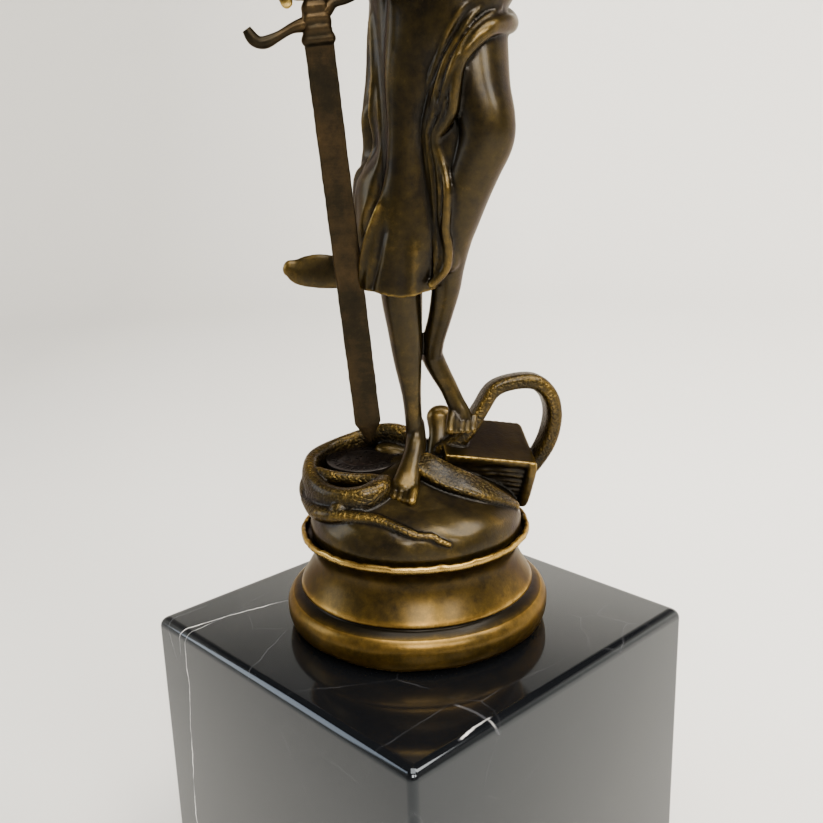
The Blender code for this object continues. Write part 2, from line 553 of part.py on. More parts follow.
TORSO = [
    (150, 6.8, 0.5, 10.8, 13.8, 17.0, 14.0, 12.2, 14.0, 16.6, 13.4),
    (158, 6.4, 0.5, 10.6, 13.0, 16.0, 14.0, 12.2, 14.0, 15.8, 13.0),
    (166, 5.8, 0.4, 9.4, 11.4, 13.6, 11.8, 9.4, 11.8, 13.6, 11.4),
    (174, 5.0, 0.2, 8.4, 9.8, 11.2, 9.6, 8.0, 9.6, 11.2, 9.8),
    (182, 4.2, 0.0, 9.0, 10.8, 11.8, 10.0, 8.6, 10.0, 11.8, 10.8),
    (190, 3.6, 0.0, 10.8, 13.0, 13.0, 11.0, 9.8, 11.0, 13.0, 13.0),
    (198, 3.2, 0.2, 10.4, 12.6, 13.8, 12.0, 10.4, 12.0, 13.8, 12.6),
    (205, 3.0, 0.6, 8.4, 11.2, 15.2, 12.4, 10.0, 12.4, 15.2, 11.2),
    (211, 3.0, 1.2, 6.4, 9.4, 15.6, 11.4, 8.4, 11.4, 15.6, 9.4),
    (215, 3.0, 1.6, 5.2, 6.6, 12.4, 8.4, 6.4, 8.4, 12.4, 6.6),
    (218, 3.0, 1.8, 4.2, 4.6, 6.6, 5.6, 4.8, 5.6, 6.6, 4.6),
    (221, 3.0, 1.8, 3.6, 3.8, 4.2, 4.2, 4.0, 4.2, 4.2, 3.8),
]
BODICE_TOP = (200.5, 209.0, 205.0, 210.0, 205.5, 210.0, 205.0, 209.0)
PEPLUM = [
    (175, 5.0, 0.2, 9.4, 10.8, 12.2, 10.6, 9.0, 10.6, 12.2, 10.8),
    (168, 5.6, 0.3, 11.0, 13.0, 15.0, 13.0, 10.8, 13.0, 15.0, 13.0),
    (160, 6.2, 0.4, 13.0, 15.6, 18.4, 15.8, 13.8, 15.8, 18.2, 15.4),
    (150, 6.6, 0.4, 14.4, 17.4, 20.0, 16.4, 15.0, 16.4, 19.6, 16.6),
]
PEPLUM_HEM = (158.0, 154.0, 151.0, 155.0, 153.0, 156.0, 152.0, 156.0)
PEPLUM_PLEATS = 18
BODICE_FOLDS = []
for fold in range(4):
    for mirror in (-1, 1):
        BODICE_FOLDS.append((0.75, 6, [(mirror * (10 + 20 * fold), 176), (mirror * (16 + 12 * fold), 190),
                                       (mirror * (34 + 9 * fold), 203)]))
        BODICE_FOLDS.append((0.8, 8, [(180 + mirror * (8 + 20 * fold), 176),
                                      (180 + mirror * (20 + 14 * fold), 203)]))


def torso():
    def pleated(z, angle):
        deep = np.clip((172 - z) / 12, 0, 1)
        return 1.25 * deep * np.abs(np.sin(PEPLUM_PLEATS / 2 * angle + 0.6 * np.sin(3 * angle))) ** 0.7

    hem = np.array(PEPLUM_HEM)
    dress = [(row[0], row[1], row[2], *(r + 0.9 for r in row[3:])) for row in TORSO]
    return [gown(TORSO, 221, 150, sides=120, count=90),
            gown(dress, BODICE_TOP, 156, BODICE_FOLDS, sides=200, count=90),
            level_rope(dress, BODICE_TOP, 0.0, 0.8),
            level_rope(TORSO, (175.0,) * 8, 1.3, 1.1, depth=1.6),
            *straps(dress),
            gown(PEPLUM, 175, hem, wall=2.6, recess=4, ripple=pleated, sides=240, count=60),
            ball((-2.2, -7.2, 192.0), (5.6, 5.2, 5.6), (12, 0, 8)),
            ball((9.0, -7.0, 192.0), (5.6, 5.2, 5.6), (12, 0, -8))]


def level_rope(table, level, out, radius, depth=1.0):
    """Moulding that runs round a section table at a level given by compass points."""
    angle = np.linspace(0, 2 * math.pi, 65)
    z = hem_level(level, angle)
    x, y, reach = ring_radii(table, z, angle)
    keys = np.stack([x + (reach + out) * np.sin(angle), y - (reach + out) * np.cos(angle), z,
                     np.full_like(z, radius), np.full_like(z, radius * depth)], 1)
    return tube(keys, sides=14, count=110)


def straps(dress):
    """Cloth over each shoulder, held by a round clasp."""
    pieces = []
    for mirror, turn in ((-1, math.radians(-45)), (1, math.radians(45))):
        front = surface_point(dress, 208.0, turn)
        rear = surface_point(dress, 209.0, math.pi - turn)
        crown = np.array((3.0 + mirror * 11.6, 0.6, 216.2))
        keys = [(*front, 3.0, 0.9), (*((front * 0.5 + crown * 0.5) + np.array((0, -1.4, 1.2))), 2.4, 0.9),
                (*crown, 1.8, 1.0), (*((rear * 0.5 + crown * 0.5) + np.array((0, 1.6, 1.4))), 2.4, 0.9),
                (*rear, 3.0, 0.9)]
        pieces += [tube(keys, up=(0.2 * mirror, 0, 1), count=40), ball(crown + (0, -0.8, 0.6), 1.9)]
    return pieces


def surface_point(table, z, angle, out=0.0):
    x, y, radius = ring_radii(table, np.array([z]), np.array([angle]))
    return np.array((x[0] + (radius[0] + out) * math.sin(angle),
                     y[0] - (radius[0] + out) * math.cos(angle), z))


# Arms and hands

SWORD_ARM = [
    (-13.0, 1.2, 211.4, 4.6, 5.0), (-16.6, 1.8, 206.0, 4.6, 5.0), (-20.6, 3.8, 193.0, 3.9, 4.3),
    (-23.2, 5.6, 181.0, 3.3, 3.5), (-23.6, 5.2, 175.0, 3.3, 3.6), (-22.8, 1.8, 166.0, 3.1, 3.3),
    (-21.6, -2.8, 157.0, 2.5, 2.7), (-20.8, -5.6, 151.0, 2.0, 2.4), (-20.4, -7.4, 147.0, 2.1, 2.6),
]
SCALES_ARM = [
    (18.6, 1.2, 209.8, 5.0, 5.2), (24.6, -0.2, 215.6, 4.6, 4.9), (33.4, -3.4, 225.0, 3.9, 4.2),
    (41.0, -6.6, 233.4, 3.3, 3.5), (44.2, -8.2, 239.4, 3.2, 3.4), (45.4, -9.6, 248.0, 3.1, 3.2),
    (46.3, -11.4, 258.6, 2.4, 2.6), (46.9, -12.6, 265.6, 1.9, 2.3), (47.0, -13.4, 268.6, 2.1, 2.6),
]
FINGER_RADIUS = 0.95


def grip_hand(centre, axis, back, thumb_side):
    """Fist closed round a rod: a palm behind it, four fingers round the front and a thumb."""
    centre, axis = np.asarray(centre, float), np.asarray(axis, float)
    axis = axis / np.linalg.norm(axis)
    back = np.asarray(back, float)
    back = back - axis * (back @ axis)
    back /= np.linalg.norm(back)
    side = np.cross(axis, back) * thumb_side
    pieces = []
    reach = 2.7
    for i in range(4):
        level = (1.5 - i) * 1.85
        keys = []
        for a in np.linspace(-40, 215, 8):
            turn = math.radians(a)
            spread = reach * (1.0 if 30 < a < 190 else 0.95)
            point = (centre + axis * level - back * spread * math.sin(turn)
                     + side * spread * math.cos(turn))
            fat = FINGER_RADIUS * (1.0 - 0.08 * abs(i - 1))
            keys.append((*point, fat, fat))
        pieces.append(tube(keys, up=tuple(axis), sides=12, count=24))
    palm = centre + back * 2.6 + side * 0.9
    pieces.append(tube([(*(palm - axis * 3.2), 2.0, 1.7), (*palm, 2.5, 2.0),
                        (*(palm + axis * 3.4), 2.1, 1.9)], up=tuple(back), sides=16, count=16))
    root = centre + back * 2.2 - side * 1.8 + axis * 1.0
    tip = centre - back * 2.6 - side * 1.4 + axis * 3.2
    pieces.append(tube([(*root, 1.3, 1.3), (*((root + tip) / 2 - side * 1.3), 1.15, 1.15),
                        (*tip, 0.95, 0.95)], up=tuple(axis), sides=12, count=16))
    return pieces


def sword_axis():
    return SWORD_LEAN


def sword_grip_centre():
    return SWORD_TOP + sword_axis() * 12.5


def with_grip(rows):
    """Rows of the sword arm and wrist, moved with the grip below the elbow."""
    shift = np.array(SWORD_TOP - Vector((-15.9, -9.6, 129.4)))
    return [(*(np.array(row[:3]) + shift * min(1, max(0, (175 - row[2]) / 24))), *row[3:])
            for row in rows]


def arms():
    hilt = np.array(sword_grip_centre())
    return [tube(with_grip(SWORD_ARM), up=(0, -1, 0), count=70), tube(SCALES_ARM, up=(0.3, -1, 0), count=70),
            ball((-13.6, 1.2, 210.4), (5.0, 5.0, 5.4)), ball((19.2, 0.8, 212.0), (5.2, 5.2, 5.2)),
            tube(with_grip([(-20.6, -6.6, 149.0, 2.2, 2.6), (-19.6, -8.6, 144.0, 2.7, 2.6),
                            (-19.6, -9.2, 139.5, 2.3, 2.3)]), up=(0, -1, 0), count=20),
            tube(with_grip([(-20.6, -9.6, 142.4, 1.9, 1.7), (-21.8, -11.0, 139.2, 1.8, 1.4),
                            (-21.6, -11.6, 136.6, 1.2, 1.0)]),
                 up=(0, -1, 0), count=24)
            ] + grip_hand(hilt, sword_axis(), (-0.75, 0.65, 0), -1) + grip_hand(
                SCALES_HAND, (0, 0, 1), (-0.25, 0.95, 0), 1) + [
            tube([(47.0, -12.4, 266.4, 2.0, 2.4), (47.2, -13.2, 270.6, 2.4, 2.4)],
                 up=(0, -1, 0), count=12)]


# Head

HEAD_PIVOT = (2.6, 1.6, 228.0)
HEAD_PLACE = (2.8, 1.0, 226.0)
HEAD_SIZE = 1.05
HEAD_TURN = (4, 0, -8)
SKULL = [
    (229.6, 2.6, 1.0, 6.4, 3.6, 2.4, 3.0, 3.4, 3.0, 2.4, 3.6),
    (231.4, 2.6, 1.0, 8.0, 5.6, 4.0, 4.4, 5.0, 4.4, 4.0, 5.6),
    (234.4, 2.6, 1.0, 8.7, 7.0, 6.0, 6.0, 7.0, 6.0, 6.0, 7.0),
    (238.4, 2.6, 1.2, 9.2, 8.2, 7.7, 8.2, 9.2, 8.2, 7.7, 8.2),
    (242.6, 2.6, 1.4, 9.5, 8.9, 8.6, 9.6, 10.8, 9.6, 8.6, 8.9),
    (246.6, 2.6, 1.4, 10.2, 9.4, 8.9, 10.2, 11.6, 10.2, 8.9, 9.4),
    (250.6, 2.6, 1.4, 9.7, 9.2, 8.7, 9.9, 11.2, 9.9, 8.7, 9.2),
    (254.2, 2.6, 1.4, 7.4, 7.4, 7.2, 8.0, 8.8, 8.0, 7.2, 7.4),
    (256.6, 2.6, 1.4, 3.4, 3.6, 3.8, 4.2, 4.6, 4.2, 3.8, 3.6),
]
BAND_LEVEL = 243.2
HAIR_LOCKS = 13
BUN_CENTRE = np.array((2.6, 12.8, 241.8))


def skull_point(z, angle, out=0.0):
    x, y, radius = ring_radii(SKULL, np.array([z]), np.array([angle]))
    return np.array((x[0] + (radius[0] + out) * math.sin(angle),
                     y[0] - (radius[0] + out) * math.cos(angle), z))


def head():
    pieces = [gown(SKULL, SKULL[-1][0], SKULL[0][0], sides=100, count=70),
              tube([(2.6, -8.2, 244.2, 1.0, 1.2), (2.6, -9.6, 241.4, 1.1, 1.3),
                    (2.6, -10.7, 238.7, 1.25, 1.0)], up=(0, -1, 0), sides=14, count=16),
              ball((1.6, -9.3, 238.4), (0.9, 1.0, 0.75)), ball((3.6, -9.3, 238.4), (0.9, 1.0, 0.75)),
              ball((2.6, -7.9, 235.5), (2.1, 1.2, 0.6)), ball((2.6, -7.7, 234.3), (1.8, 1.2, 0.66)),
              ball((2.6, -6.3, 231.5), (2.2, 1.6, 1.6)),
              ball((-1.6, -5.6, 238.0), (2.6, 1.9, 3.0), (0, 0, -30)),
              ball((6.8, -5.6, 238.0), (2.6, 1.9, 3.0), (0, 0, 30))]
    angle = np.linspace(0, 2 * math.pi, 49)
    x, y, radius = ring_radii(SKULL, np.full_like(angle, BAND_LEVEL), angle)
    for lift, out in ((1.35, 0.45), (0.0, 0.6), (-1.35, 0.45)):
        keys = np.stack([x + (radius + out) * np.sin(angle), y - (radius + out) * np.cos(angle),
                         np.full_like(angle, BAND_LEVEL + lift), np.full_like(angle, 0.75),
                         np.full_like(angle, 1.0)], 1)
        pieces.append(tube(keys, sides=12, count=80))
    pieces += hair()
    return [placed(piece, HEAD_TURN, HEAD_PIVOT, HEAD_PLACE, HEAD_SIZE) for piece in pieces]


def hair():
    """Locks from a centre parting over the crown, down the sides and into a low bun."""
    pieces = [ball(BUN_CENTRE, (5.0, 4.2, 4.8))]
    for mirror in (-1, 1):
        for i in range(HAIR_LOCKS):
            start = math.radians(6 + 11.5 * i) * mirror
            keys = []
            for s in np.linspace(0, 1, 7):
                sweep = start + mirror * s * (math.radians(172) - abs(start)) * 0.96
                level = 255.4 - 1.2 * i * 0.35 - s * (10.5 - 0.18 * i) - (
                    3.4 * math.sin(math.pi * s) * max(0.0, 1 - i / 8))
                spot = skull_point(level, sweep, 0.5 + 0.35 * math.sin(9 * s + i))
                if s == 1:
                    spot = BUN_CENTRE + np.array((mirror * 2.5, -1.0, 1.5 - 0.2 * i))
                keys.append((*spot, 1.15, 0.95))
            pieces.append(tube(keys, up=(0, 0.3, 1), sides=10, count=36))
    for turn in range(3):
        keys = []
        for a in np.linspace(0, 300, 10):
            spin = math.radians(a + 110 * turn)
            keys.append((BUN_CENTRE[0] + (4.3 - 1.1 * turn) * math.cos(spin),
                         BUN_CENTRE[1] + 0.8 + 1.2 * turn,
                         BUN_CENTRE[2] + (4.1 - 1.1 * turn) * math.sin(spin), 1.2, 1.0))
        pieces.append(tube(keys, up=(0, 1, 0), sides=10, count=40))
    return pieces


def neck():
    return [tube([(3.0, 2.2, 209, 6.2, 5.6), (2.9, 2.0, 215, 4.6, 4.6), (2.8, 1.6, 221, 4.1, 4.3),
                  (2.8, 1.6, 227, 4.2, 4.5), (2.8, 2.2, 234, 4.4, 4.8)], up=(0, -1, 0), count=30),
            ball((3.0, 5.0, 211), (9.5, 4.5, 5.0))]


def figure_shells():
    return (mound() + book() + snake() + legs() + skirt() + torso() + arms() + neck() + head())


def clay(name, shells, voxel, smoothing):
    """Mesh of one closed skin over all shells, joined as clay and smoothed."""
    points, faces, base = [], [], 0
    for shell_points, shell_faces in shells:
        points += [to_world(p) for p in shell_points]
        faces += [tuple(base + i for i in face) for face in shell_faces]
        base = len(points)
    mesh = bpy.data.meshes.new(name + "_shells")
    mesh.from_pydata(points, [], faces)
    rough = new_object(name + "_shells", mesh)
    remesh = rough.modifiers.new("skin", "REMESH")
    remesh.mode = "VOXEL"
    remesh.voxel_size = voxel * UNIT
    smooth = rough.modifiers.new("rub", "SMOOTH")
    smooth.factor = 0.5
    smooth.iterations = smoothing
    graph = bpy.context.evaluated_depsgraph_get()
    skin = bpy.data.meshes.new_from_object(rough.evaluated_get(graph))
    skin.name = name
    bpy.data.objects.remove(rough)
    return skin


def keep_largest(mesh):
    """Drops loose crumbs that the joining left, and keeps the one connected body."""
    bm = bmesh.new()
    bm.from_mesh(mesh)
    seen, islands = set(), []
    for start in bm.verts:
        if start in seen:
            continue
        island, stack = [], [start]
        seen.add(start)
        while stack:
            vert = stack.pop()
            island.append(vert)
            for edge in vert.link_edges:
                other = edge.other_vert(vert)
                if other not in seen:
                    seen.add(other)
                    stack.append(other)
        islands.append(island)
    islands.sort(key=len)
    for island in islands[:-1]:
        bmesh.ops.delete(bm, geom=island, context="VERTS")
    bm.to_mesh(mesh)
    bm.free()


def cut(target, cutter):
    cutter.hide_render = True
    cutter.display_type = "WIRE"
    step = target.modifiers.new("cut_" + cutter.name, "BOOLEAN")
    step.operation = "DIFFERENCE"
    step.solver = "EXACT"
    step.object = cutter


# Marble plinth and turned bronze foot


def rounded_square(half, radius, level, steps=3):
    """Ring of points round a square with rounded corners, turned as the plinth stands."""
    points = []
    for corner in range(4):
        middle = corner * math.pi / 2 + math.pi / 4
        for a in np.linspace(0, math.pi / 2, steps):
            turn = a + corner * math.pi / 2
            points.append(((half - radius) * math.sqrt(2) * math.cos(middle) + radius * math.cos(turn),
                           (half - radius) * math.sqrt(2) * math.sin(middle) + radius * math.sin(turn),
                           level))
    return [Matrix.Rotation(PLINTH_TURN, 3, "Z") @ Vector(p) for p in points]


def plinth():
    """Square block with every arris but the lowest rubbed round."""
    half = PLINTH_SIDE / 2
    rings = [rounded_square(half, PLINTH_SIDE_ARRIS, 0.0)]
    for a in np.linspace(0, math.pi / 2, 5):
        inset = PLINTH_TOP_ARRIS * (1 - math.cos(a))
        rings.append(rounded_square(half - inset, max(PLINTH_SIDE_ARRIS - 0.6 * inset, 0.0003),
                                    PLINTH_HEIGHT - PLINTH_TOP_ARRIS * (1 - math.sin(a))))
    bm = bmesh.new()
    closed_rings(bm, rings)
    made = new_object("marble_plinth", mesh_of("marble_plinth", bm), BLACK_MARBLE)
    made.data.shade_smooth()
    made.data.set_sharp_from_angle(angle=math.radians(35))
    return made


def foot_profile():
    """Outline of the turned foot from the middle of its underside to the middle of its top."""
    ring_mid = FOOT_RING_HEIGHT * 0.58
    bulge = FOOT_RING_RADIUS - FOOT_GROOVE_RADIUS
    ring = [(FOOT_CONTACT_RADIUS, 0.0)]
    for a in np.linspace(-64, 62, 7):
        turn = math.radians(a)
        ring.append((FOOT_GROOVE_RADIUS + bulge * math.cos(turn) ** 0.8,
                     ring_mid + ring_mid * math.sin(turn) * (0.62 if a > 0 else 1.0)))
    neck = FOOT_GROOVE_RADIUS - FOOT_GROOVE_DEPTH
    ring += [(neck + 0.0002, FOOT_RING_HEIGHT - 0.0001), (neck, FOOT_RING_HEIGHT + 0.0005)]
    bell_foot = FOOT_RING_HEIGHT + 0.0009
    waist = FOOT_RING_HEIGHT + (FOOT_HEIGHT - FOOT_RING_HEIGHT) * 0.58
    bell = []
    for s in np.linspace(0, 1, 5):
        bell.append((FOOT_WAIST_RADIUS + (FOOT_GROOVE_RADIUS - FOOT_WAIST_RADIUS) * (1 - s) ** 1.7,
                     bell_foot + (waist - bell_foot) * s ** 0.8))
    lip_foot = FOOT_HEIGHT - FOOT_LIP_WIDTH
    flare = []
    for s in np.linspace(0.35, 1, 3):
        flare.append((FOOT_WAIST_RADIUS + (FOOT_LIP_RADIUS - FOOT_WAIST_RADIUS) * s ** 2.4,
                      waist + (lip_foot - waist) * s))
    lip = [(FOOT_LIP_RADIUS, FOOT_HEIGHT - FOOT_LIP_WIDTH * 0.3),
           (FOOT_LIP_RADIUS - FOOT_LIP_WIDTH * 0.5, FOOT_HEIGHT),
           (FOOT_LIP_RADIUS - FOOT_LIP_WIDTH, FOOT_HEIGHT - FOOT_LIP_WIDTH * 0.3),
           (FOOT_LIP_RADIUS - FOOT_LIP_WIDTH * 1.2, FOOT_HEIGHT - FOOT_GUTTER_DEPTH)]
    return ring + bell + flare + lip


def turned(name, profile, sides, finish, level, smooth_angle=40):
    """Solid of revolution about Z through a profile of (radius, height), capped flat."""
    bm = bmesh.new()
    rings = []
    for radius, height in profile:
        rings.append([bm.verts.new((radius * math.cos(2 * math.pi * i / sides),
                                    radius * math.sin(2 * math.pi * i / sides), level + height))
                      for i in range(sides)])
    for lower, upper in zip(rings, rings[1:]):
        for i in range(sides):
            n = (i + 1) % sides
            bm.faces.new((lower[i], lower[n], upper[n], upper[i]))
    bm.faces.new(rings[0][::-1])
    bm.faces.new(rings[-1])
    made = new_object(name, mesh_of(name, bm), finish)
    made.data.shade_smooth()
    made.data.set_sharp_from_angle(angle=math.radians(smooth_angle))
    return made


def foot():
    return turned("bronze_foot", foot_profile(), FOOT_SIDES, BRONZE, PLINTH_HEIGHT + FIT_GAP)


# Sword


def along_sword(distance):
    """World point on the sword's axis at a distance in metres above the blade's top."""
    return to_world(SWORD_TOP) + sword_axis() * distance


def sword_frame():
    """Columns: across the blade, through the blade, along the grip."""
    along = sword_axis()
    across = Vector((math.cos(SWORD_TURN), math.sin(SWORD_TURN), 0))
    across = (across - along * across.dot(along)).normalized()
    through = along.cross(across)
    return Matrix((across, through, along)).transposed().to_4x4()


def closed_rings(bm, rings):
    """Skin through rings of points, closed at both ends."""
    made = [[bm.verts.new(p) for p in ring] for ring in rings]
    count = len(made[0])
    for lower, upper in zip(made, made[1:]):
        for i in range(count):
            n = (i + 1) % count
            bm.faces.new((lower[i], lower[n], upper[n], upper[i]))
    bm.faces.new(made[0][::-1])
    bm.faces.new(made[-1])


def blade_rings(extra=0.0):
    """Flat six-sided blade down to its point, in the sword's own frame."""
    half, thick = SWORD_BLADE_WIDTH / 2 + extra, SWORD_BLADE_THICKNESS / 2 + extra
    outline = [(0.0, 1.0), (-(SWORD_BLADE_LENGTH - SWORD_POINT_LENGTH), 1.0),
               (-(SWORD_BLADE_LENGTH - SWORD_POINT_LENGTH * 0.4), 0.52), (-SWORD_BLADE_LENGTH, 0.10)]
    rings = []
    for height, share in outline:
        w, t = half * share, thick * (0.4 + 0.6 * share)
        rings.append([Vector((w, -t * 0.45, height)), Vector((w, t * 0.45, height)),
                      Vector((0, t, height)), Vector((-w, t * 0.45, height)),
                      Vector((-w, -t * 0.45, height)), Vector((0, -t, height))])
    return rings


SWORD_SHOULDER = 2.6
GUARD_LINE = [
    (-13.8, 4.0), (-12.6, 1.9), (-10.8, 1.2), (-8.0, 2.0), (-5.0, 3.2), (-2.0, 3.8),
    (1.2, 5.2), (3.6, 7.0), (6.2, 7.4), (8.4, 8.4), (10.2, 10.2),
]
GUARD_FAT = (0.7, 0.95, 0.95, 0.75, 0.8, 1.1, 1.2, 0.9, 0.75, 0.8, 0.9)
GUARD_BLOCK = [(-0.6, 3.0, 0.9), (0.4, 3.3, 1.5), (3.0, 2.9, 1.7), (6.0, 2.7, 1.7), (8.2, 1.9, 1.5)]


def guard_rings(extra=0.0):
    """Crossguard with a curled quillon, swept in the blade's plane."""
    rows = path_through([(x, 0, z, f) for (x, z), f in zip(GUARD_LINE, GUARD_FAT)], 17)
    path = rows[:, :3] * UNIT
    along = np.gradient(path, axis=0)
    along /= np.linalg.norm(along, axis=1)[:, None]
    rings = []
    for point, way, fat in zip(path, along, rows[:, 3]):
        normal = np.array((-way[2], 0, way[0]))
        radius = SWORD_GUARD_RADIUS * fat + extra
        rings.append([Vector(point + normal * radius * math.cos(a) + np.array((0, radius, 0)) * math.sin(a))
                      for a in np.linspace(0, 2 * math.pi, 6, endpoint=False)])
    return rings


def block_rings(extra=0.0):
    """Hand-modelled block where the guard, the grip and the blade meet."""
    rings = []
    for level, wide, thick in GUARD_BLOCK:
        w, t = wide * UNIT + extra, thick * UNIT + extra
        rings.append([Vector((w * a, t * b, level * UNIT))
                      for a, b in ((1, -0.6), (1, 0.6), (0.6, 1), (-0.6, 1), (-1, 0.6), (-1, -0.6),
                                   (-0.6, -1), (0.6, -1))])
    return rings


def grip_rings(extra=0.0):
    """Grip and ball pommel above the guard."""
    base = SWORD_SHOULDER * UNIT
    rows = [(base, SWORD_GRIP_RADIUS), (base + SWORD_GRIP_LENGTH * 0.5, SWORD_GRIP_RADIUS * 1.15),
            (base + SWORD_GRIP_LENGTH, SWORD_GRIP_RADIUS * 0.9)]
    ball_mid = base + SWORD_GRIP_LENGTH + SWORD_POMMEL_RADIUS * 0.7
    rows += [(ball_mid + SWORD_POMMEL_RADIUS * math.sin(math.radians(a)),
              SWORD_POMMEL_RADIUS * math.cos(math.radians(a))) for a in (-40, 0, 40, 75)]
    return [[Vector(((radius + extra) * math.cos(a), (radius + extra) * math.sin(a), height))
             for a in np.linspace(0, 2 * math.pi, 8, endpoint=False)] for height, radius in rows]


def sword():
    """Blade, guard and grip, united into one casting."""
    parts = []
    place = Matrix.Translation(along_sword(0)) @ sword_frame()
    for label, rings in (("blade", blade_rings()), ("block", block_rings()),
                         ("guard", guard_rings()), ("grip", grip_rings())):
        bm = bmesh.new()
        closed_rings(bm, rings)
        if label == "blade":
            bmesh.ops.translate(bm, verts=[v for v in bm.verts if v.co.z > -1e-6],
                                vec=(0, 0, SWORD_SHOULDER * UNIT))
        bmesh.ops.transform(bm, matrix=place, verts=bm.verts)
        parts.append(new_object(label, mesh_of(label, bm)))
    made, others = parts[0], parts[1:]
    made.name = "sword"
    made.data.materials.append(BRONZE)
    for other in others:
        step = made.modifiers.new("join_" + other.name, "BOOLEAN")
        step.operation = "UNION"
        step.solver = "EXACT"
        step.object = other
        other.hide_render = True
        other.display_type = "WIRE"
    return made


# Seal and scales


def seal_frame():
    return Matrix.Translation(to_world(SEAL_CENTRE)) @ Matrix.Rotation(SEAL_TILT, 4, "X")


def seal():
    """Round seal with a raised rim."""
    bm = bmesh.new()
    top = SEAL_THICKNESS / 2
    face = top - SEAL_RELIEF
    inner = SEAL_RADIUS - SEAL_RIM_WIDTH
    rows = [(SEAL_RADIUS, -top), (SEAL_RADIUS, top), (inner, top), (inner, face)]
    closed_rings(bm, [[Vector((r * math.cos(2 * math.pi * i / SEAL_SIDES),
                               r * math.sin(2 * math.pi * i / SEAL_SIDES), z))
                       for i in range(SEAL_SIDES)] for r, z in rows])
    bmesh.ops.transform(bm, matrix=seal_frame(), verts=bm.verts)
    return new_object("seal", mesh_of("seal", bm), DARK_BRONZE)


def seal_pocket():
    """Room for the seal in the ground, open above it."""
    bm = bmesh.new()
    radius = SEAL_RADIUS + FIT_GAP
    low, high = -SEAL_THICKNESS / 2 - FIT_GAP, SEAL_THICKNESS / 2 + SEAL_HEADROOM
    closed_rings(bm, [[Vector((radius * math.cos(2 * math.pi * i / SEAL_SIDES),
                               radius * math.sin(2 * math.pi * i / SEAL_SIDES), z))
                       for i in range(SEAL_SIDES)] for z in (low, high)])
    bmesh.ops.transform(bm, matrix=seal_frame(), verts=bm.verts)
    return new_object("seal_pocket", mesh_of("seal_pocket", bm))


def beam_frame():
    base = to_world((SCALES_HAND.x, SCALES_HAND.y, BEAM_LEVEL))
    return Matrix.Translation(base) @ Matrix.Rotation(BEAM_TURN, 4, "Z")


def bar_rings(keys, sides, extra=0.0, up=(0, 1, 0)):
    """Rings of a bar along key rows of x, y, z and radius in metres."""
    keys = np.asarray(keys, float)
    path = keys[:, :3]
    along = np.gradient(path, axis=0)
    along /= np.linalg.norm(along, axis=1)[:, None]
    rings = []
    for point, way, radius in zip(path, along, keys[:, 3]):
        side = np.cross(way, np.asarray(up, float))
        side /= np.linalg.norm(side)
        deep = np.cross(side, way)
        rings.append([Vector(point + (side * math.cos(a) + deep * math.sin(a)) * (radius + extra))
                      for a in np.linspace(0, 2 * math.pi, sides, endpoint=False)])
    return rings


def rod_keys():
    reach = (SCALES_HAND.z + 6.2 - BEAM_LEVEL) * UNIT
    return [(0, 0, 0, BEAM_ROD_RADIUS), (0, 0, reach, BEAM_ROD_RADIUS),
            (0, 0, reach + 0.0014, BEAM_ROD_RADIUS * 1.7), (0, 0, reach + 0.0030, BEAM_ROD_RADIUS * 0.8)]


def beam():
    """Balance beam with turned-up tips and the rod that the hand holds."""
    keys = []
    for s in np.linspace(-1, 1, 13):
        keys.append((BEAM_HALF_LENGTH * s, 0, 0.0016 * abs(s) ** 3 - 0.0012 * math.cos(s * math.pi) * 0.4,
                     BEAM_RADIUS * (1.25 - 0.55 * abs(s))))
    bm = bmesh.new()
    closed_rings(bm, bar_rings(keys, 8))
    bmesh.ops.transform(bm, matrix=beam_frame(), verts=bm.verts)
    made = new_object("scales_beam", mesh_of("scales_beam", bm), BRONZE)
    bm = bmesh.new()
    closed_rings(bm, bar_rings(rod_keys(), 8, up=(0, 1, 0)))
    bmesh.ops.transform(bm, matrix=beam_frame(), verts=bm.verts)
    rod = new_object("beam_rod", mesh_of("beam_rod", bm))
    rod.hide_render = True
    rod.display_type = "WIRE"
    step = made.modifiers.new("join_rod", "BOOLEAN")
    step.operation = "UNION"
    step.solver = "EXACT"
    step.object = rod
    return made


def rod_room():
    bm = bmesh.new()
    keys = [(0, 0, -0.004, BEAM_ROD_RADIUS), *rod_keys()]
    closed_rings(bm, bar_rings(keys, 8, extra=SWORD_FIT, up=(0, 1, 0)))
    bmesh.ops.transform(bm, matrix=beam_frame(), verts=bm.verts)
    return new_object("rod_room", mesh_of("rod_room", bm))


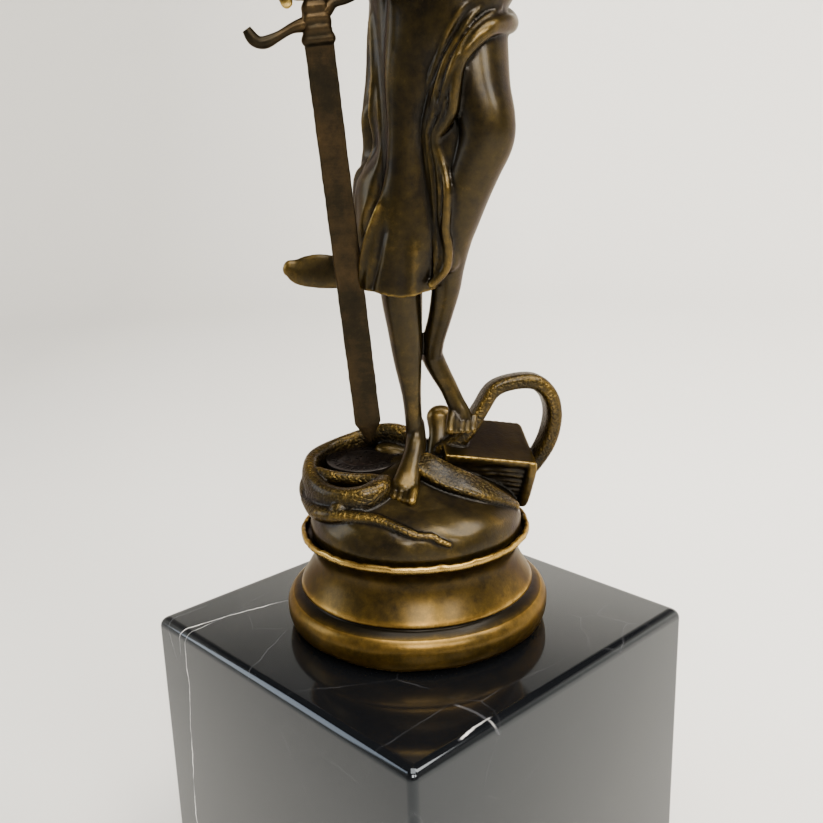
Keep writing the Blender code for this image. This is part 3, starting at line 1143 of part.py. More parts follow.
def pan(name, end):
    """Shallow pan with its cords, which meet under the beam's tip."""
    hang = beam_frame() @ Vector((end * (BEAM_HALF_LENGTH - 0.0010), 0, 0))
    hang.z -= BEAM_RADIUS * 1.4 + FIT_GAP
    rim = hang.z - PAN_DROP
    profile = []
    for a in np.linspace(90, 0, 4):
        turn = math.radians(a)
        profile.append((PAN_RADIUS * math.cos(turn) if a < 90 else 0.0010,
                        -PAN_DEPTH * math.sin(turn) - PAN_WALL * 0.5))
    profile += [(PAN_RADIUS, 0.0), (PAN_RADIUS - PAN_WALL, 0.0)]
    for a in (20, 55, 90):
        turn = math.radians(a)
        profile.append(((PAN_RADIUS - PAN_WALL) * math.cos(turn) if a < 90 else 0.0008,
                        -PAN_DEPTH * math.sin(turn)))
    sides = 12
    bm = bmesh.new()
    closed_rings(bm, [[Vector((hang.x + r * math.cos(2 * math.pi * i / sides),
                               hang.y + r * math.sin(2 * math.pi * i / sides), rim + z))
                       for i in range(sides)] for r, z in profile])
    made = new_object(name, mesh_of(name, bm), BRONZE)
    knot = Vector((hang.x, hang.y, hang.z - 0.0012))
    pieces = []
    for i in range(PAN_CORDS):
        a = 2 * math.pi * (i + 0.25) / PAN_CORDS
        edge = Vector((hang.x + (PAN_RADIUS - PAN_WALL * 0.5) * math.cos(a),
                       hang.y + (PAN_RADIUS - PAN_WALL * 0.5) * math.sin(a), rim - 0.0004))
        pieces.append([(*edge, PAN_CORD_RADIUS), (*knot, PAN_CORD_RADIUS)])
    pieces.append([(hang.x, hang.y, hang.z, 0.0007), (hang.x, hang.y, hang.z - 0.0012, 0.0013),
                   (hang.x, hang.y, hang.z - 0.0026, 0.0007)])
    for index, keys in enumerate(pieces):
        bm = bmesh.new()
        closed_rings(bm, bar_rings(keys, 4, up=(0.3, 1, 0.1)))
        cord = new_object(f"{name}_cord_{index}", mesh_of(f"{name}_cord_{index}", bm))
        cord.hide_render = True
        cord.display_type = "WIRE"
        step = made.modifiers.new(f"join_{index}", "BOOLEAN")
        step.operation = "UNION"
        step.solver = "EXACT"
        step.object = cord
    return made


def seat_cutter():
    """Flat bed under the figure group."""
    bm = bmesh.new()
    bmesh.ops.create_cube(bm, size=1.0)
    wide = FOOT_RING_RADIUS * 4
    bmesh.ops.scale(bm, vec=(wide, wide, 0.02), verts=bm.verts)
    bed = to_world((0, 0, SEAT_LEVEL)).z
    bmesh.ops.translate(bm, vec=(0, 0, bed - 0.01), verts=bm.verts)
    return new_object("seat_cutter", mesh_of("seat_cutter", bm))


def figure():
    """The figure with her ground, book and snake, cast in one."""
    skin = clay("justice_figure", figure_shells(), CLAY_VOXEL, CLAY_RUB_COUNT)
    keep_largest(skin)
    made = new_object("justice_figure", skin, BRONZE)
    thin = made.modifiers.new("thin", "DECIMATE")
    thin.ratio = FIGURE_FACES / (2 * len(skin.polygons))
    thin.use_collapse_triangulate = True
    for cutter in (seat_cutter(), seal_pocket(), rod_room()):
        cut(made, cutter)
    room = sword_room()
    for cutter in room:
        cut(made, cutter)
    return made


def sword_room():
    """Fatter copies of the sword's parts, which leave a gap round it in the hand and the dress."""
    place = Matrix.Translation(along_sword(0)) @ sword_frame()
    made = []
    for label, rings in (("blade_room", blade_rings(SWORD_FIT)), ("block_room", block_rings(SWORD_FIT)),
                         ("guard_room", guard_rings(SWORD_FIT)), ("grip_room", grip_rings(SWORD_FIT))):
        bm = bmesh.new()
        closed_rings(bm, rings)
        if label == "blade_room":
            bmesh.ops.translate(bm, verts=[v for v in bm.verts if v.co.z > -1e-6],
                                vec=(0, 0, SWORD_SHOULDER * UNIT))
        bmesh.ops.transform(bm, matrix=place, verts=bm.verts)
        made.append(new_object(label, mesh_of(label, bm)))
    return made


plinth()
foot()
figure()
sword()
seal()
beam()
pan("scale_pan_inner", -1)
pan("scale_pan_outer", 1)
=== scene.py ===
"""Lady justice statue: patinated bronze on a turned bronze foot and a polished black marble plinth."""
import math

import bmesh
import bpy
import numpy as np
from mathutils import Matrix, Vector
from mathutils.bvhtree import BVHTree


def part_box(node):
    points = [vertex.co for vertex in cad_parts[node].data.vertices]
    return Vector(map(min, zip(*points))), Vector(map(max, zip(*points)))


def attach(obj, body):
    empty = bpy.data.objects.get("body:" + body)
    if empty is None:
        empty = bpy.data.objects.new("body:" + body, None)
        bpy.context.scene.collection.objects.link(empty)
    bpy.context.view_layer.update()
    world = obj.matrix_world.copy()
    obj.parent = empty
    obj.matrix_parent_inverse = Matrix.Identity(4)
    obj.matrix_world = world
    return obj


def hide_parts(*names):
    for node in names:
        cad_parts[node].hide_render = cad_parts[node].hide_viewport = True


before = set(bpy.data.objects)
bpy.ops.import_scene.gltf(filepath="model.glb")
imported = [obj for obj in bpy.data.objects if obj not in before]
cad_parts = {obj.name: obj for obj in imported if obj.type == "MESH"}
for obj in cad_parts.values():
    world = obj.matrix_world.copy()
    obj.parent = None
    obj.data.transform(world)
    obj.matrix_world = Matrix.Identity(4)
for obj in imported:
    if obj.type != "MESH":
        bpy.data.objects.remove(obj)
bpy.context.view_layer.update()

# Sizes in metres; the places come from the solids

UNIT = 0.001
SEAT_LEVEL = 22.3
PLINTH_LOW, PLINTH_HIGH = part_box("marble_plinth")
FOOT_LOW, FOOT_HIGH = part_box("bronze_foot")
GROUP_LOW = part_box("justice_figure")[0]

PLINTH_SIDE = 0.090
PLINTH_TURN = math.radians(45)
PLINTH_TOP_ARRIS = 0.0024
PLINTH_SIDE_ARRIS = 0.0018

FOOT_CONTACT_RADIUS = 0.0275
FOOT_RING_RADIUS = 0.0308
FOOT_RING_HEIGHT = 0.0090
FOOT_GROOVE_RADIUS = 0.0274
FOOT_WAIST_RADIUS = 0.0240
FOOT_LIP_RADIUS = 0.0268
FOOT_HEIGHT = FOOT_HIGH[2] - FOOT_LOW[2]
FOOT_LIP_WIDTH = 0.0012
FOOT_GUTTER_DEPTH = 0.0016
FOOT_GROOVE_DEPTH = 0.0007
FOOT_SWELL_SHARE = 0.58
FOOT_WAIST_SHARE = 0.58

SWORD_BLADE_LENGTH = 0.0870
SWORD_BLADE_WIDTH = 0.0059
SWORD_BLADE_THICKNESS = 0.0016
SWORD_POINT_LENGTH = 0.0048
SWORD_GRIP_LENGTH = 0.0190
SWORD_GRIP_RADIUS = 0.0014
SWORD_POMMEL_RADIUS = 0.0023
SWORD_GUARD_RADIUS = 0.0013

SEAL_RADIUS = 0.0088
SEAL_THICKNESS = 0.0011
SEAL_RIM_WIDTH = 0.0007
SEAL_RELIEF = 0.0002

BEAM_HALF_LENGTH = 0.0165
BEAM_RADIUS = 0.0010
BEAM_ROD_RADIUS = 0.0010
PAN_RADIUS = 0.0068
PAN_DEPTH = 0.0021
PAN_WALL = 0.0009
PAN_DROP = 0.0225
PAN_CORDS = 3

# Places in the figure's own units, measured from the top of the plinth
SWORD_TIP = Vector((-9.8, 0.6, 42.6))
SWORD_TOP = Vector((-15.9, -9.6, 129.4))
SWORD_TURN = math.radians(14)
SEAL_CENTRE = Vector((-12.0, 4.6, 37.4))
SEAL_TILT = math.radians(3)
SCALES_HAND = Vector((47.8, -17.6, 271.5))
BEAM_TURN = math.radians(40)
BEAM_LEVEL = 263.0


def to_world(point):
    """A point in figure units as metres above the plinth's underside."""
    return Vector((point[0] * UNIT, point[1] * UNIT, GROUP_LOW[2] + (point[2] - SEAT_LEVEL) * UNIT))


# Materials

def linear(code):
    """Linear colour of an sRGB hex value."""
    parts = [int(code[i:i + 2], 16) / 255 for i in (1, 3, 5)]
    return (*(c / 12.92 if c <= 0.04045 else ((c + 0.055) / 1.055) ** 2.4 for c in parts), 1.0)


def wire(tree, node, inputs):
    """Gives a node its inputs: values or sockets, by their names or in the node's own order."""
    for name, value in inputs.items() if isinstance(inputs, dict) else enumerate(inputs):
        if isinstance(value, bpy.types.NodeSocket):
            tree.links.new(value, node.inputs[name])
        else:
            node.inputs[name].default_value = value


def add(tree, kind, inputs, output=0, stops=(), **settings):
    """Adds one node with its inputs, settings and colour stops; gives one output socket."""
    made = tree.nodes.new(kind)
    for name, value in settings.items():
        setattr(made, name, value)
    for _ in stops[2:]:
        made.color_ramp.elements.new(0.5)
    for element, (place, code) in zip(made.color_ramp.elements if stops else (), stops):
        element.position, element.color = place, linear(code)
    wire(tree, made, inputs)
    return made.outputs[output]


def blank(name):
    """New material, with its tree, its shader and the object's own coordinates."""
    made = bpy.data.materials.new(name)
    made.use_nodes = True
    tree = made.node_tree
    shader = tree.nodes["Principled BSDF"]
    coords = tree.nodes.new("ShaderNodeTexCoord").outputs["Object"]
    return made, tree, shader, coords


PATINA_WEAR = 0.34
SNAKE_SCALE = 0.0011
PIT_DEPTH = 0.00022


def cast_bronze(name, stops, rubbed, pitted, gloss, coat=0.2, scales=False, streaks=0.0):
    """Cast bronze under a brown patina: dark and dull in the hollows, from patina and painted shade both,
    rubbed golden on the high places, mottled in patches of a few millimetres and finely pitted from the
    mould."""
    made, tree, shader, coords = blank(name)
    edge, form = (add(tree, "ShaderNodeAttribute", {}, 2, attribute_name=mark)
                  for mark in ("edge", "form"))
    patch, mottle, grit = (
        add(tree, "ShaderNodeTexNoise", {"Vector": coords, "Scale": 1 / size, "Detail": detail,
                                         "Roughness": rough})
        for size, detail, rough in ((0.011, 4.0, 0.6), (0.0016, 3.0, 0.65), (0.00035, 2.0, 0.6)))
    # What wears the patina, and darkens the hollows with patina and painted shade: each source with its
    # middle value and its share
    sources = [(edge, 0.0, rubbed), (form, 0.0, 0.22), (patch, 0.5, 0.75), (mottle, 0.5, 0.34),
               (grit, 0.5, 0.16)]
    if streaks:
        squeezed = add(tree, "ShaderNodeMapping", {"Vector": coords, "Scale": (160, 160, 2600)})
        lines = add(tree, "ShaderNodeTexNoise", {"Vector": squeezed, "Scale": 1.0, "Detail": 2.0})
        sources.append((lines, 0.5, streaks))
    wear_and_shade = PATINA_WEAR
    for source, middle, share in sources:
        away = add(tree, "ShaderNodeMath", (source, middle), operation="SUBTRACT")
        wear_and_shade = add(tree, "ShaderNodeMath", (away, share, wear_and_shade), operation="MULTIPLY_ADD")
    colour = add(tree, "ShaderNodeValToRGB", (wear_and_shade,), stops=stops)
    dull = add(tree, "ShaderNodeMapRange", {"Value": wear_and_shade, "From Min": 0.1, "From Max": 0.9,
                                            "To Min": gloss + 0.08, "To Max": gloss - 0.10})
    away = add(tree, "ShaderNodeMath", (mottle, 0.5), operation="SUBTRACT")
    dull = add(tree, "ShaderNodeMath", (away, 0.22, dull), operation="MULTIPLY_ADD")
    height = add(tree, "ShaderNodeMath", (grit, 0.35), operation="MULTIPLY")
    height = add(tree, "ShaderNodeMath", (mottle, 0.5, height), operation="MULTIPLY_ADD")
    if scales:
        skin = add(tree, "ShaderNodeAttribute", {}, 2, attribute_name="snake")
        cells = add(tree, "ShaderNodeTexVoronoi", {"Vector": coords, "Scale": 1 / SNAKE_SCALE},
                    feature="DISTANCE_TO_EDGE")
        plates = add(tree, "ShaderNodeMapRange", {"Value": cells, "From Max": 0.28, "To Max": 1.6})
        height = add(tree, "ShaderNodeMath", (plates, skin, height), operation="MULTIPLY_ADD")
    bump = add(tree, "ShaderNodeBump", {"Height": height, "Strength": pitted,
                                        "Distance": PIT_DEPTH})
    wire(tree, shader, {"Base Color": colour, "Roughness": dull, "Normal": bump, "Metallic": 0.86,
                        "Specular Tint": linear("#bfb29c"), "Coat Weight": coat,
                        "Coat Roughness": 0.22})
    return made


BROWN_STOPS = [(0.0, "#0a0906"), (0.25, "#17120a"), (0.48, "#2f260f"), (0.68, "#4f3e19"),
               (0.86, "#7f6831"), (1.0, "#bb9e58")]
GOLDEN_STOPS = [(0.0, "#100d07"), (0.22, "#241c0b"), (0.45, "#433413"), (0.7, "#674e1f"),
                (1.0, "#a38547")]
DARK_STOPS = [(0.0, "#0b0a09"), (0.3, "#151211"), (0.55, "#26211b"), (0.8, "#423622"),
              (1.0, "#705c36")]
BLADE_STOPS = [(0.0, "#0a0a0a"), (0.3, "#110f0d"), (0.55, "#1e1a12"), (0.8, "#34291a"),
               (1.0, "#5e4d2d")]


def black_marble():
    """Black marble, ground and polished: a wet black mirror crossed by hairline white veins."""
    made, tree, shader, coords = blank("black_marble_polished")
    warp = add(tree, "ShaderNodeTexNoise", {"Vector": coords, "Scale": 1 / 0.012, "Detail": 5.0}, 1)
    shift = add(tree, "ShaderNodeVectorMath", (warp, (0.5, 0.5, 0.5)), operation="SUBTRACT")
    shift = add(tree, "ShaderNodeVectorMath", {0: shift, "Scale": 0.0035}, operation="SCALE")
    bent = add(tree, "ShaderNodeVectorMath", (coords, shift), operation="ADD")
    total = 0.0
    for normal, distance, width, weight, middle, reach in VEINS:
        along = add(tree, "ShaderNodeVectorMath", (bent, normal), 1, operation="DOT_PRODUCT")
        away = add(tree, "ShaderNodeMath", (along, distance), operation="SUBTRACT")
        away = add(tree, "ShaderNodeMath", (away,), operation="ABSOLUTE")
        line = add(tree, "ShaderNodeMapRange", {"Value": away, "From Min": width * 0.3,
                                                "From Max": width, "To Min": weight, "To Max": 0.0})
        far = add(tree, "ShaderNodeVectorMath", (coords, middle), 1, operation="DISTANCE")
        near = add(tree, "ShaderNodeMapRange", {"Value": far, "From Min": reach,
                                                "From Max": reach * 0.8})
        line = add(tree, "ShaderNodeMath", (line, near), operation="MULTIPLY")
        total = add(tree, "ShaderNodeMath", (total, line), operation="MAXIMUM")
    breaks = add(tree, "ShaderNodeTexNoise", {"Vector": coords, "Scale": 1 / 0.009, "Detail": 3.0})
    breaks = add(tree, "ShaderNodeMapRange", {"Value": breaks, "From Min": 0.38, "From Max": 0.62})
    cells = add(tree, "ShaderNodeTexVoronoi", {"Vector": bent, "Scale": 1 / 0.034},
                feature="DISTANCE_TO_EDGE")
    hair = add(tree, "ShaderNodeMapRange", {"Value": cells, "From Min": 0.0, "From Max": 0.008,
                                            "To Min": 0.16, "To Max": 0.0})
    hair = add(tree, "ShaderNodeMath", (hair, breaks), operation="MULTIPLY")
    kept = add(tree, "ShaderNodeMath", (breaks, 0.55, 0.45), operation="MULTIPLY_ADD")
    total = add(tree, "ShaderNodeMath", (total, kept), operation="MULTIPLY")
    total = add(tree, "ShaderNodeMath", (total, hair), operation="MAXIMUM")
    colour = add(tree, "ShaderNodeValToRGB", (total,),
                 stops=[(0.0, "#08090b"), (0.35, "#343538"), (1.0, "#d8d6d2")])
    haze = add(tree, "ShaderNodeTexNoise", {"Vector": coords, "Scale": 1 / 0.02, "Detail": 3.0})
    rough = add(tree, "ShaderNodeMapRange", {"Value": haze, "To Min": 0.05, "To Max": 0.13})
    wire(tree, shader, {"Base Color": colour, "Roughness": rough, "IOR": 1.48,
                        "Specular Tint": linear("#dbe6f0")})
    return made


# Veins are planes through the block, each seen round one place only:
# normal, distance from the block's centre line, half width, strength, middle, reach
VEINS = [
    ((-0.515, 0.857, -0.007), 0.02282, 0.00032, 0.85, (-0.043, 0.001, 0.078), 0.0185),
    ((0.723, -0.688, -0.064), -0.03842, 0.00034, 0.9, (-0.052, -0.004, 0.050), 0.034),
    ((0.665, -0.665, 0.339), -0.01138, 0.00020, 0.45, (-0.054, 0.000, 0.074), 0.0095),
    ((-0.947, 0.321, -0.018), 0.02491, 0.00018, 0.30, (-0.034, -0.019, 0.078), 0.0135),
    ((-0.769, 0.639, -0.017), -0.04201, 0.00038, 0.95, (0.0122, -0.049, 0.079), 0.0055),
    ((0.629, 0.672, 0.391), 0.00952, 0.00052, 0.6, (0.0127, -0.0434, 0.0784), 0.0060),
    ((-0.42, -0.84, 0.35), 0.0102, 0.00022, 0.40, (0.034, 0.022, 0.078), 0.018),
    ((0.70, 0.30, -0.64), 0.0092, 0.00030, 0.7, (0.028, 0.034, 0.050), 0.030),
    ((0.25, -0.93, 0.27), -0.0290, 0.00026, 0.6, (-0.030, 0.033, 0.045), 0.028),
]


def paper():
    """Matt white paper, lit low down behind the piece, with painted shade in its colour that darkens it up
    the wall, towards the camera and to the left, which gives the polished stone and the bronze something
    dark to show."""
    made, tree, shader, coords = blank("matt_white_paper_painted_shade")
    across, depth, level = (add(tree, "ShaderNodeSeparateXYZ", {"Vector": coords}, axis)
                            for axis in range(3))
    # Painted shade masks: up the wall, towards the camera, off the floor, and to the left
    shade_up_wall, shade_towards_camera, raised, beside = (
        add(tree, "ShaderNodeMapRange", {"Value": way, "From Min": start, "From Max": end,
                                         "To Max": most})
        for way, start, end, most in ((level, 0.58, 1.08, 1.0), (depth, 0.30, -0.45, 1.0),
                                      (level, 0.02, 0.25, 1.0), (across, 0.12, -0.36, 0.24)))
    # Painted shade on the floor: to the left, and a little towards the camera
    near = add(tree, "ShaderNodeMath", (shade_towards_camera, 0.2), operation="MULTIPLY")
    floor = add(tree, "ShaderNodeMath", (beside, near), operation="ADD")
    # Painted shade on the wall towards the camera
    wall_shade = add(tree, "ShaderNodeMath", (shade_towards_camera, raised), operation="MULTIPLY")
    wall_shade = add(tree, "ShaderNodeMath", (wall_shade, 0.7), operation="MULTIPLY")
    # The strongest painted shade darkens the paper's colour
    dark = add(tree, "ShaderNodeMath", (shade_up_wall, wall_shade), operation="MAXIMUM")
    dark = add(tree, "ShaderNodeMath", (dark, floor), operation="MAXIMUM")
    colour = add(tree, "ShaderNodeValToRGB", (dark,),
                 stops=[(0.0, "#e9e8e4"), (0.5, "#8c8b88"), (1.0, "#343434")])
    wire(tree, shader, {"Base Color": colour, "Roughness": 0.9})
    return made


# Free-form tools: a shell is its points, in figure units, and its faces

def cubic(a, b, c, d, share):
    """Catmull-Rom value between b and c, with a before and d behind them."""
    return 0.5 * (2 * b + (c - a) * share + (2 * a - 5 * b + 4 * c - d) * share ** 2
                  + (3 * b - 3 * c + d - a) * share ** 3)


def curve_at(keys, t):
    """Curve through the key rows at the parameters t, which run from 0 to rows - 1."""
    keys = np.asarray(keys, float)
    rows = np.vstack([2 * keys[0] - keys[1], keys, 2 * keys[-1] - keys[-2]])
    t = np.asarray(t, float)
    i = np.clip(t.astype(int), 0, len(keys) - 2)
    return cubic(rows[i], rows[i + 1], rows[i + 2], rows[i + 3], (t - i)[..., None])


def path_through(keys, count):
    return curve_at(keys, np.linspace(0, len(keys) - 1, count))


def shell(rings):
    """Closed shell through rings of equal length, each end closed by one flat face."""
    rings = np.asarray(rings, float)
    rows, sides = rings.shape[:2]
    faces = [(r * sides + s, r * sides + (s + 1) % sides, (r + 1) * sides + (s + 1) % sides,
              (r + 1) * sides + s) for r in range(rows - 1) for s in range(sides)]
    faces += [tuple(range(sides))[::-1], tuple(range((rows - 1) * sides, rows * sides))]
    return rings.reshape(-1, 3), faces


def section(sides, boxy=1.0):
    """Cosines and sines round a section, which a power under 1 squares."""
    turn = np.linspace(0, 2 * math.pi, sides, endpoint=False)
    return [np.sign(value) * np.abs(value) ** boxy for value in (np.cos(turn), np.sin(turn))]


DOME_STEPS = (20, 40, 60, 80)
BALL_SIDES = 36


def tube(keys, up=(0, 0, 1), sides=44, count=40, ends=(True, True), boxy=1.0):
    """Round-ended limb along key rows of x, y, z, half width and half depth.

    A boxy value under 1 squares the section, as of a strap.
    """
    rows = path_through(keys, count)
    path, half = rows[:, :3], np.maximum(rows[:, 3:5], 0.05)
    along = np.gradient(path, axis=0)
    along /= np.linalg.norm(along, axis=1)[:, None]
    side = np.cross(along, np.asarray(up, float))
    side /= np.linalg.norm(side, axis=1)[:, None]
    deep = np.cross(side, along)
    wide, tall = section(sides, boxy)

    def ring(i, push, scale):
        centre = path[i] + along[i] * push
        return (centre + np.outer(wide * half[i, 0] * scale, side[i])
                + np.outer(tall * half[i, 1] * scale, deep[i]))

    def dome(i, sign):
        return [ring(i, sign * half[i].min() * math.sin(a), math.cos(a))
                for a in np.radians(DOME_STEPS)]

    rings = dome(0, -1)[::-1] if ends[0] else []
    rings += [ring(i, 0, 1) for i in range(count)]
    if ends[1]:
        rings += dome(-1, 1)
    return shell(rings)


def ball(centre, radii, turn=(0, 0, 0)):
    """Ellipsoid with its axes turned by Euler angles in degrees."""
    radii = np.asarray(radii if hasattr(radii, "__len__") else (radii,) * 3, float)
    wide, tall = section(BALL_SIDES)
    rings = [np.stack([wide * math.sin(polar), tall * math.sin(polar),
                       np.full(BALL_SIDES, math.cos(polar))], 1) * radii
             for polar in np.radians(np.linspace(4, 176, BALL_SIDES))]
    return shell(np.array(rings) @ np.array(euler(turn)).T + np.asarray(centre, float))


def euler(degrees):
    x, y, z = (math.radians(a) for a in degrees)
    return (Matrix.Rotation(z, 3, "Z") @ Matrix.Rotation(y, 3, "Y") @ Matrix.Rotation(x, 3, "X"))


def block(centre, size, turn):
    """Box with its sides turned by Euler angles in degrees."""
    corner = np.array([(-1, -1), (1, -1), (1, 1), (-1, 1)], float)
    rings = [np.column_stack([corner, np.full(4, z)]) * np.asarray(size) / 2
             for z in np.linspace(-1, 1, 5)]
    return shell(np.array(rings) @ np.array(euler(turn)).T + np.asarray(centre, float))


def compass(angle):
    """Compass point before each angle, and the share of the way from there to the next."""
    turn = np.mod(angle, 2 * math.pi) / (math.pi / 4)
    point = np.floor(turn).astype(int)
    return point, turn - point


def ring_radii(table, z, angle):
    """Centre and radius of a section table at heights z and compass angles from the front.

    A table row is z, centre x, centre y, and the radii at eight compass points, from the front
    (-Y) by the figure's left (+X) round to the back.
    """
    table = np.asarray(table, float)
    order = np.argsort(table[:, 0])
    rows = curve_at(table[:, 1:], np.interp(z, table[order, 0], np.arange(len(table))[order]))
    point, share = compass(angle)
    around = [np.take_along_axis(rows[..., 2:], ((point + step) % 8)[..., None], axis=-1)[..., 0]
              for step in (-1, 0, 1, 2)]
    return rows[..., 0], rows[..., 1], cubic(*around, share)


def surface(table, z, angle, out=0.0):
    """Points on a section table at heights z and compass angles, moved outwards."""
    x, y, radius = ring_radii(table, z, angle)
    return np.stack([x + (radius + out) * np.sin(angle), y - (radius + out) * np.cos(angle), z], -1)


def surface_point(table, z, angle, out=0.0):
    return surface(table, np.array([z]), np.array([angle]), out)[0]


def fold_height(folds, z, angle):
    """Sum of ridges and grooves, each a height, a width in degrees and a line of (angle, z)."""
    total = np.zeros_like(z)
    degrees = np.degrees(angle)
    for height, width, line in folds:
        line = sorted(line, key=lambda point: point[1])
        levels = [point[1] for point in line]
        centre = np.interp(z, levels, [point[0] for point in line])
        away = (degrees - centre + 180) % 360 - 180
        fade = (np.clip((z - levels[0]) / 5 + 1, 0, 1) * np.clip((levels[-1] - z) / 5 + 1, 0, 1))
        total += height * np.exp(-(away / width) ** 2) * fade ** 2
    return total


def hem_level(hem, angle):
    """Height of a hem given at eight compass points."""
    hem = np.asarray(hem, float)
    point, share = compass(angle)
    share = share * share * (3 - 2 * share)
    return hem[point % 8] * (1 - share) + hem[(point + 1) % 8] * share


def gown(table, top, hem, folds=(), wall=1.3, recess=0, sides=200, count=150, ripple=None):
    """Closed cloth body from its top to its hem, open underneath where it has a recess."""
    angle = np.linspace(0, 2 * math.pi, sides, endpoint=False)[None, :]
    upper, bottom = (hem_level(end if hasattr(end, "__len__") else (end,) * 8, angle)
                     for end in (top, hem))
    z = upper + (bottom - upper) * np.linspace(0, 1, count)[:, None]
    angles = np.broadcast_to(angle, z.shape)
    out = fold_height(folds, z, angles) + (ripple(z, angles) if ripple else 0)
    rings = surface(table, z, angles, out)
    for lift in (0.0, 0.5, 1.0) if recess else ():
        ring = surface(table, z[-1], angle[0], out[-1] - wall)
        ring[:, 2] += recess * lift
        rings = np.concatenate([rings, ring[None]])
    return shell(rings)


def placed(piece, turn, pivot, at, size):
    """A piece turned by Euler angles about a pivot, which then lies at another point."""
    points, faces = piece
    moved = (points - np.asarray(pivot, float)) * size @ np.array(euler(turn)).T + np.asarray(at, float)
    return moved, faces


def rope(points, radius, up, ends):
    """Round moulding of one radius through points, thinner at the ends where they taper."""
    steps = np.linspace(0, 1, len(points))
    taper = np.interp(steps, [0, 0.2, 0.8, 1], [ends[0], 1, 1, ends[1]])
    return tube([(*p, radius * s, radius * s) for p, s in zip(points, taper)], up=up, count=70, sides=24)


def level_rope(table, level, out, radius, depth=1.0):
    """Moulding that runs round a section table at a level given by compass points."""
    angle = np.linspace(0, 2 * math.pi, 65)
    points = surface(table, hem_level(level, angle), angle, out)
    return tube([(*point, radius, radius * depth) for point in points], sides=14, count=110)


SKIN_TRIANGLES = 190000
SKIN_RUBS = 2
FLESH_PASSES = 14


def new_mesh(name, points, faces):
    mesh = bpy.data.meshes.new(name)
    mesh.from_pydata([tuple(point) for point in points], [], faces)
    return mesh


def figure_piece(name, shells, voxel, tag, tagged, finish):
    """One closed skin over all shells, joined as clay, rubbed smooth and thinned.

    The tag marks what lies nearest to the tagged shells. Where it is flesh it is rubbed more.
    """
    points, faces, owner = [], [], []
    for index, (shell_points, shell_faces) in enumerate(shells):
        faces += [tuple(len(points) + i for i in face) for face in shell_faces]
        points += [to_world(point) for point in shell_points]
        owner += [index in tagged] * len(shell_faces)
    rough = new_object(name + "_shells", new_mesh(name + "_shells", points, faces))
    remesh = rough.modifiers.new("skin", "REMESH")
    remesh.mode = "VOXEL"
    remesh.voxel_size = voxel * UNIT
    smooth = rough.modifiers.new("rub", "SMOOTH")
    smooth.factor = 0.5
    smooth.iterations = SKIN_RUBS
    skin = baked(rough, name)
    keep_largest(skin)
    if len(skin.polygons) * 2 > SKIN_TRIANGLES:
        whole = new_object(name, skin)
        thin = whole.modifiers.new("thin", "DECIMATE")
        thin.ratio = SKIN_TRIANGLES / (2 * len(skin.polygons))
        skin = baked(whole, name)
    skin.shade_smooth()
    tree = BVHTree.FromPolygons(points, faces)
    value = np.array([owner[tree.find_nearest(v.co)[2]] for v in skin.vertices], np.float32)
    skin.attributes.new(tag, "FLOAT", "POINT").data.foreach_set("value", value)
    if tag == "flesh":
        soften(skin, value)
    wear_and_shade_marks(skin)
    stand_for("justice_figure", name, skin, finish)


def baked(piece, name):
    """The piece's mesh with its modifiers worked in; the piece itself goes."""
    graph = bpy.context.evaluated_depsgraph_get()
    mesh = bpy.data.meshes.new_from_object(piece.evaluated_get(graph))
    bpy.data.objects.remove(piece)
    mesh.name = name
    return mesh


def new_object(name, data, finish=None):
    made = bpy.data.objects.new(name, data)
    bpy.context.collection.objects.link(made)
    if finish:
        data.materials.clear()
        data.materials.append(finish)
    return made


def stand_for(node, name, mesh, finish):
    """Piece that moves with the one body and is shown in place of the node, which it hides."""
    made = new_object(name, mesh, finish)
    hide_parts(node)
    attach(made, "root")


def edge_ends(mesh):
    ends = np.empty(len(mesh.edges) * 2, np.int32)
    mesh.edges.foreach_get("vertices", ends)
    return ends.reshape(-1, 2).T


def keep_largest(mesh):
    """Drops loose crumbs that the joining left."""
    one, two = edge_ends(mesh)
    label = np.arange(len(mesh.vertices))
    while True:
        low = np.minimum(label[one], label[two])
        fresh = label.copy()
        np.minimum.at(fresh, one, low)
        np.minimum.at(fresh, two, low)
        fresh = fresh[fresh]
        if (fresh == label).all():
            break
        label = fresh
    main = np.bincount(label).argmax()
    if (label == main).all():
        return
    bm = bmesh.new()
    bm.from_mesh(mesh)
    bm.verts.ensure_lookup_table()
    bmesh.ops.delete(bm, geom=[bm.verts[i] for i in np.flatnonzero(label != main)], context="VERTS")
    bm.to_mesh(mesh)
    bm.free()


def vertex_rows(mesh, kind):
    values = np.empty(len(mesh.vertices) * 3)
    mesh.vertices.foreach_get(kind, values)
    return values.reshape(-1, 3)


def neighbour_mean(mesh):
    """Function that gives the mean of the neighbours of every vertex."""
    count = len(mesh.vertices)
    one, two = edge_ends(mesh)
    degree = np.maximum(np.bincount(one, minlength=count) + np.bincount(two, minlength=count), 1)

    def mean(points):
        return np.stack([np.bincount(one, points[two, k], count) + np.bincount(two, points[one, k], count)
                         for k in range(3)], 1) / degree[:, None]
    return mean


def wear_and_shade_marks(mesh, fine=0.00022, broad=0.0012):
    """Marks each vertex by how far it stands out, from -1 in a hollow to 1 on a ridge.

    "edge" looks a third of a millimetre round the vertex and "form" a few millimetres; the bronze finishes
    darken the hollows by both, as patina and as painted shade.
    """
    place, normal, mean = vertex_rows(mesh, "co"), vertex_rows(mesh, "normal"), neighbour_mean(mesh)
    soft = place
    for name, passes, reach in (("edge", 10, fine), ("form", 110, broad)):
        for _ in range(passes):
            soft = 0.4 * soft + 0.6 * mean(soft)
        height = np.clip(((place - soft) * normal).sum(1) / reach, -1, 1)
        mesh.attributes.new(name, "FLOAT", "POINT").data.foreach_set(
            "value", np.ascontiguousarray(height, np.float32))


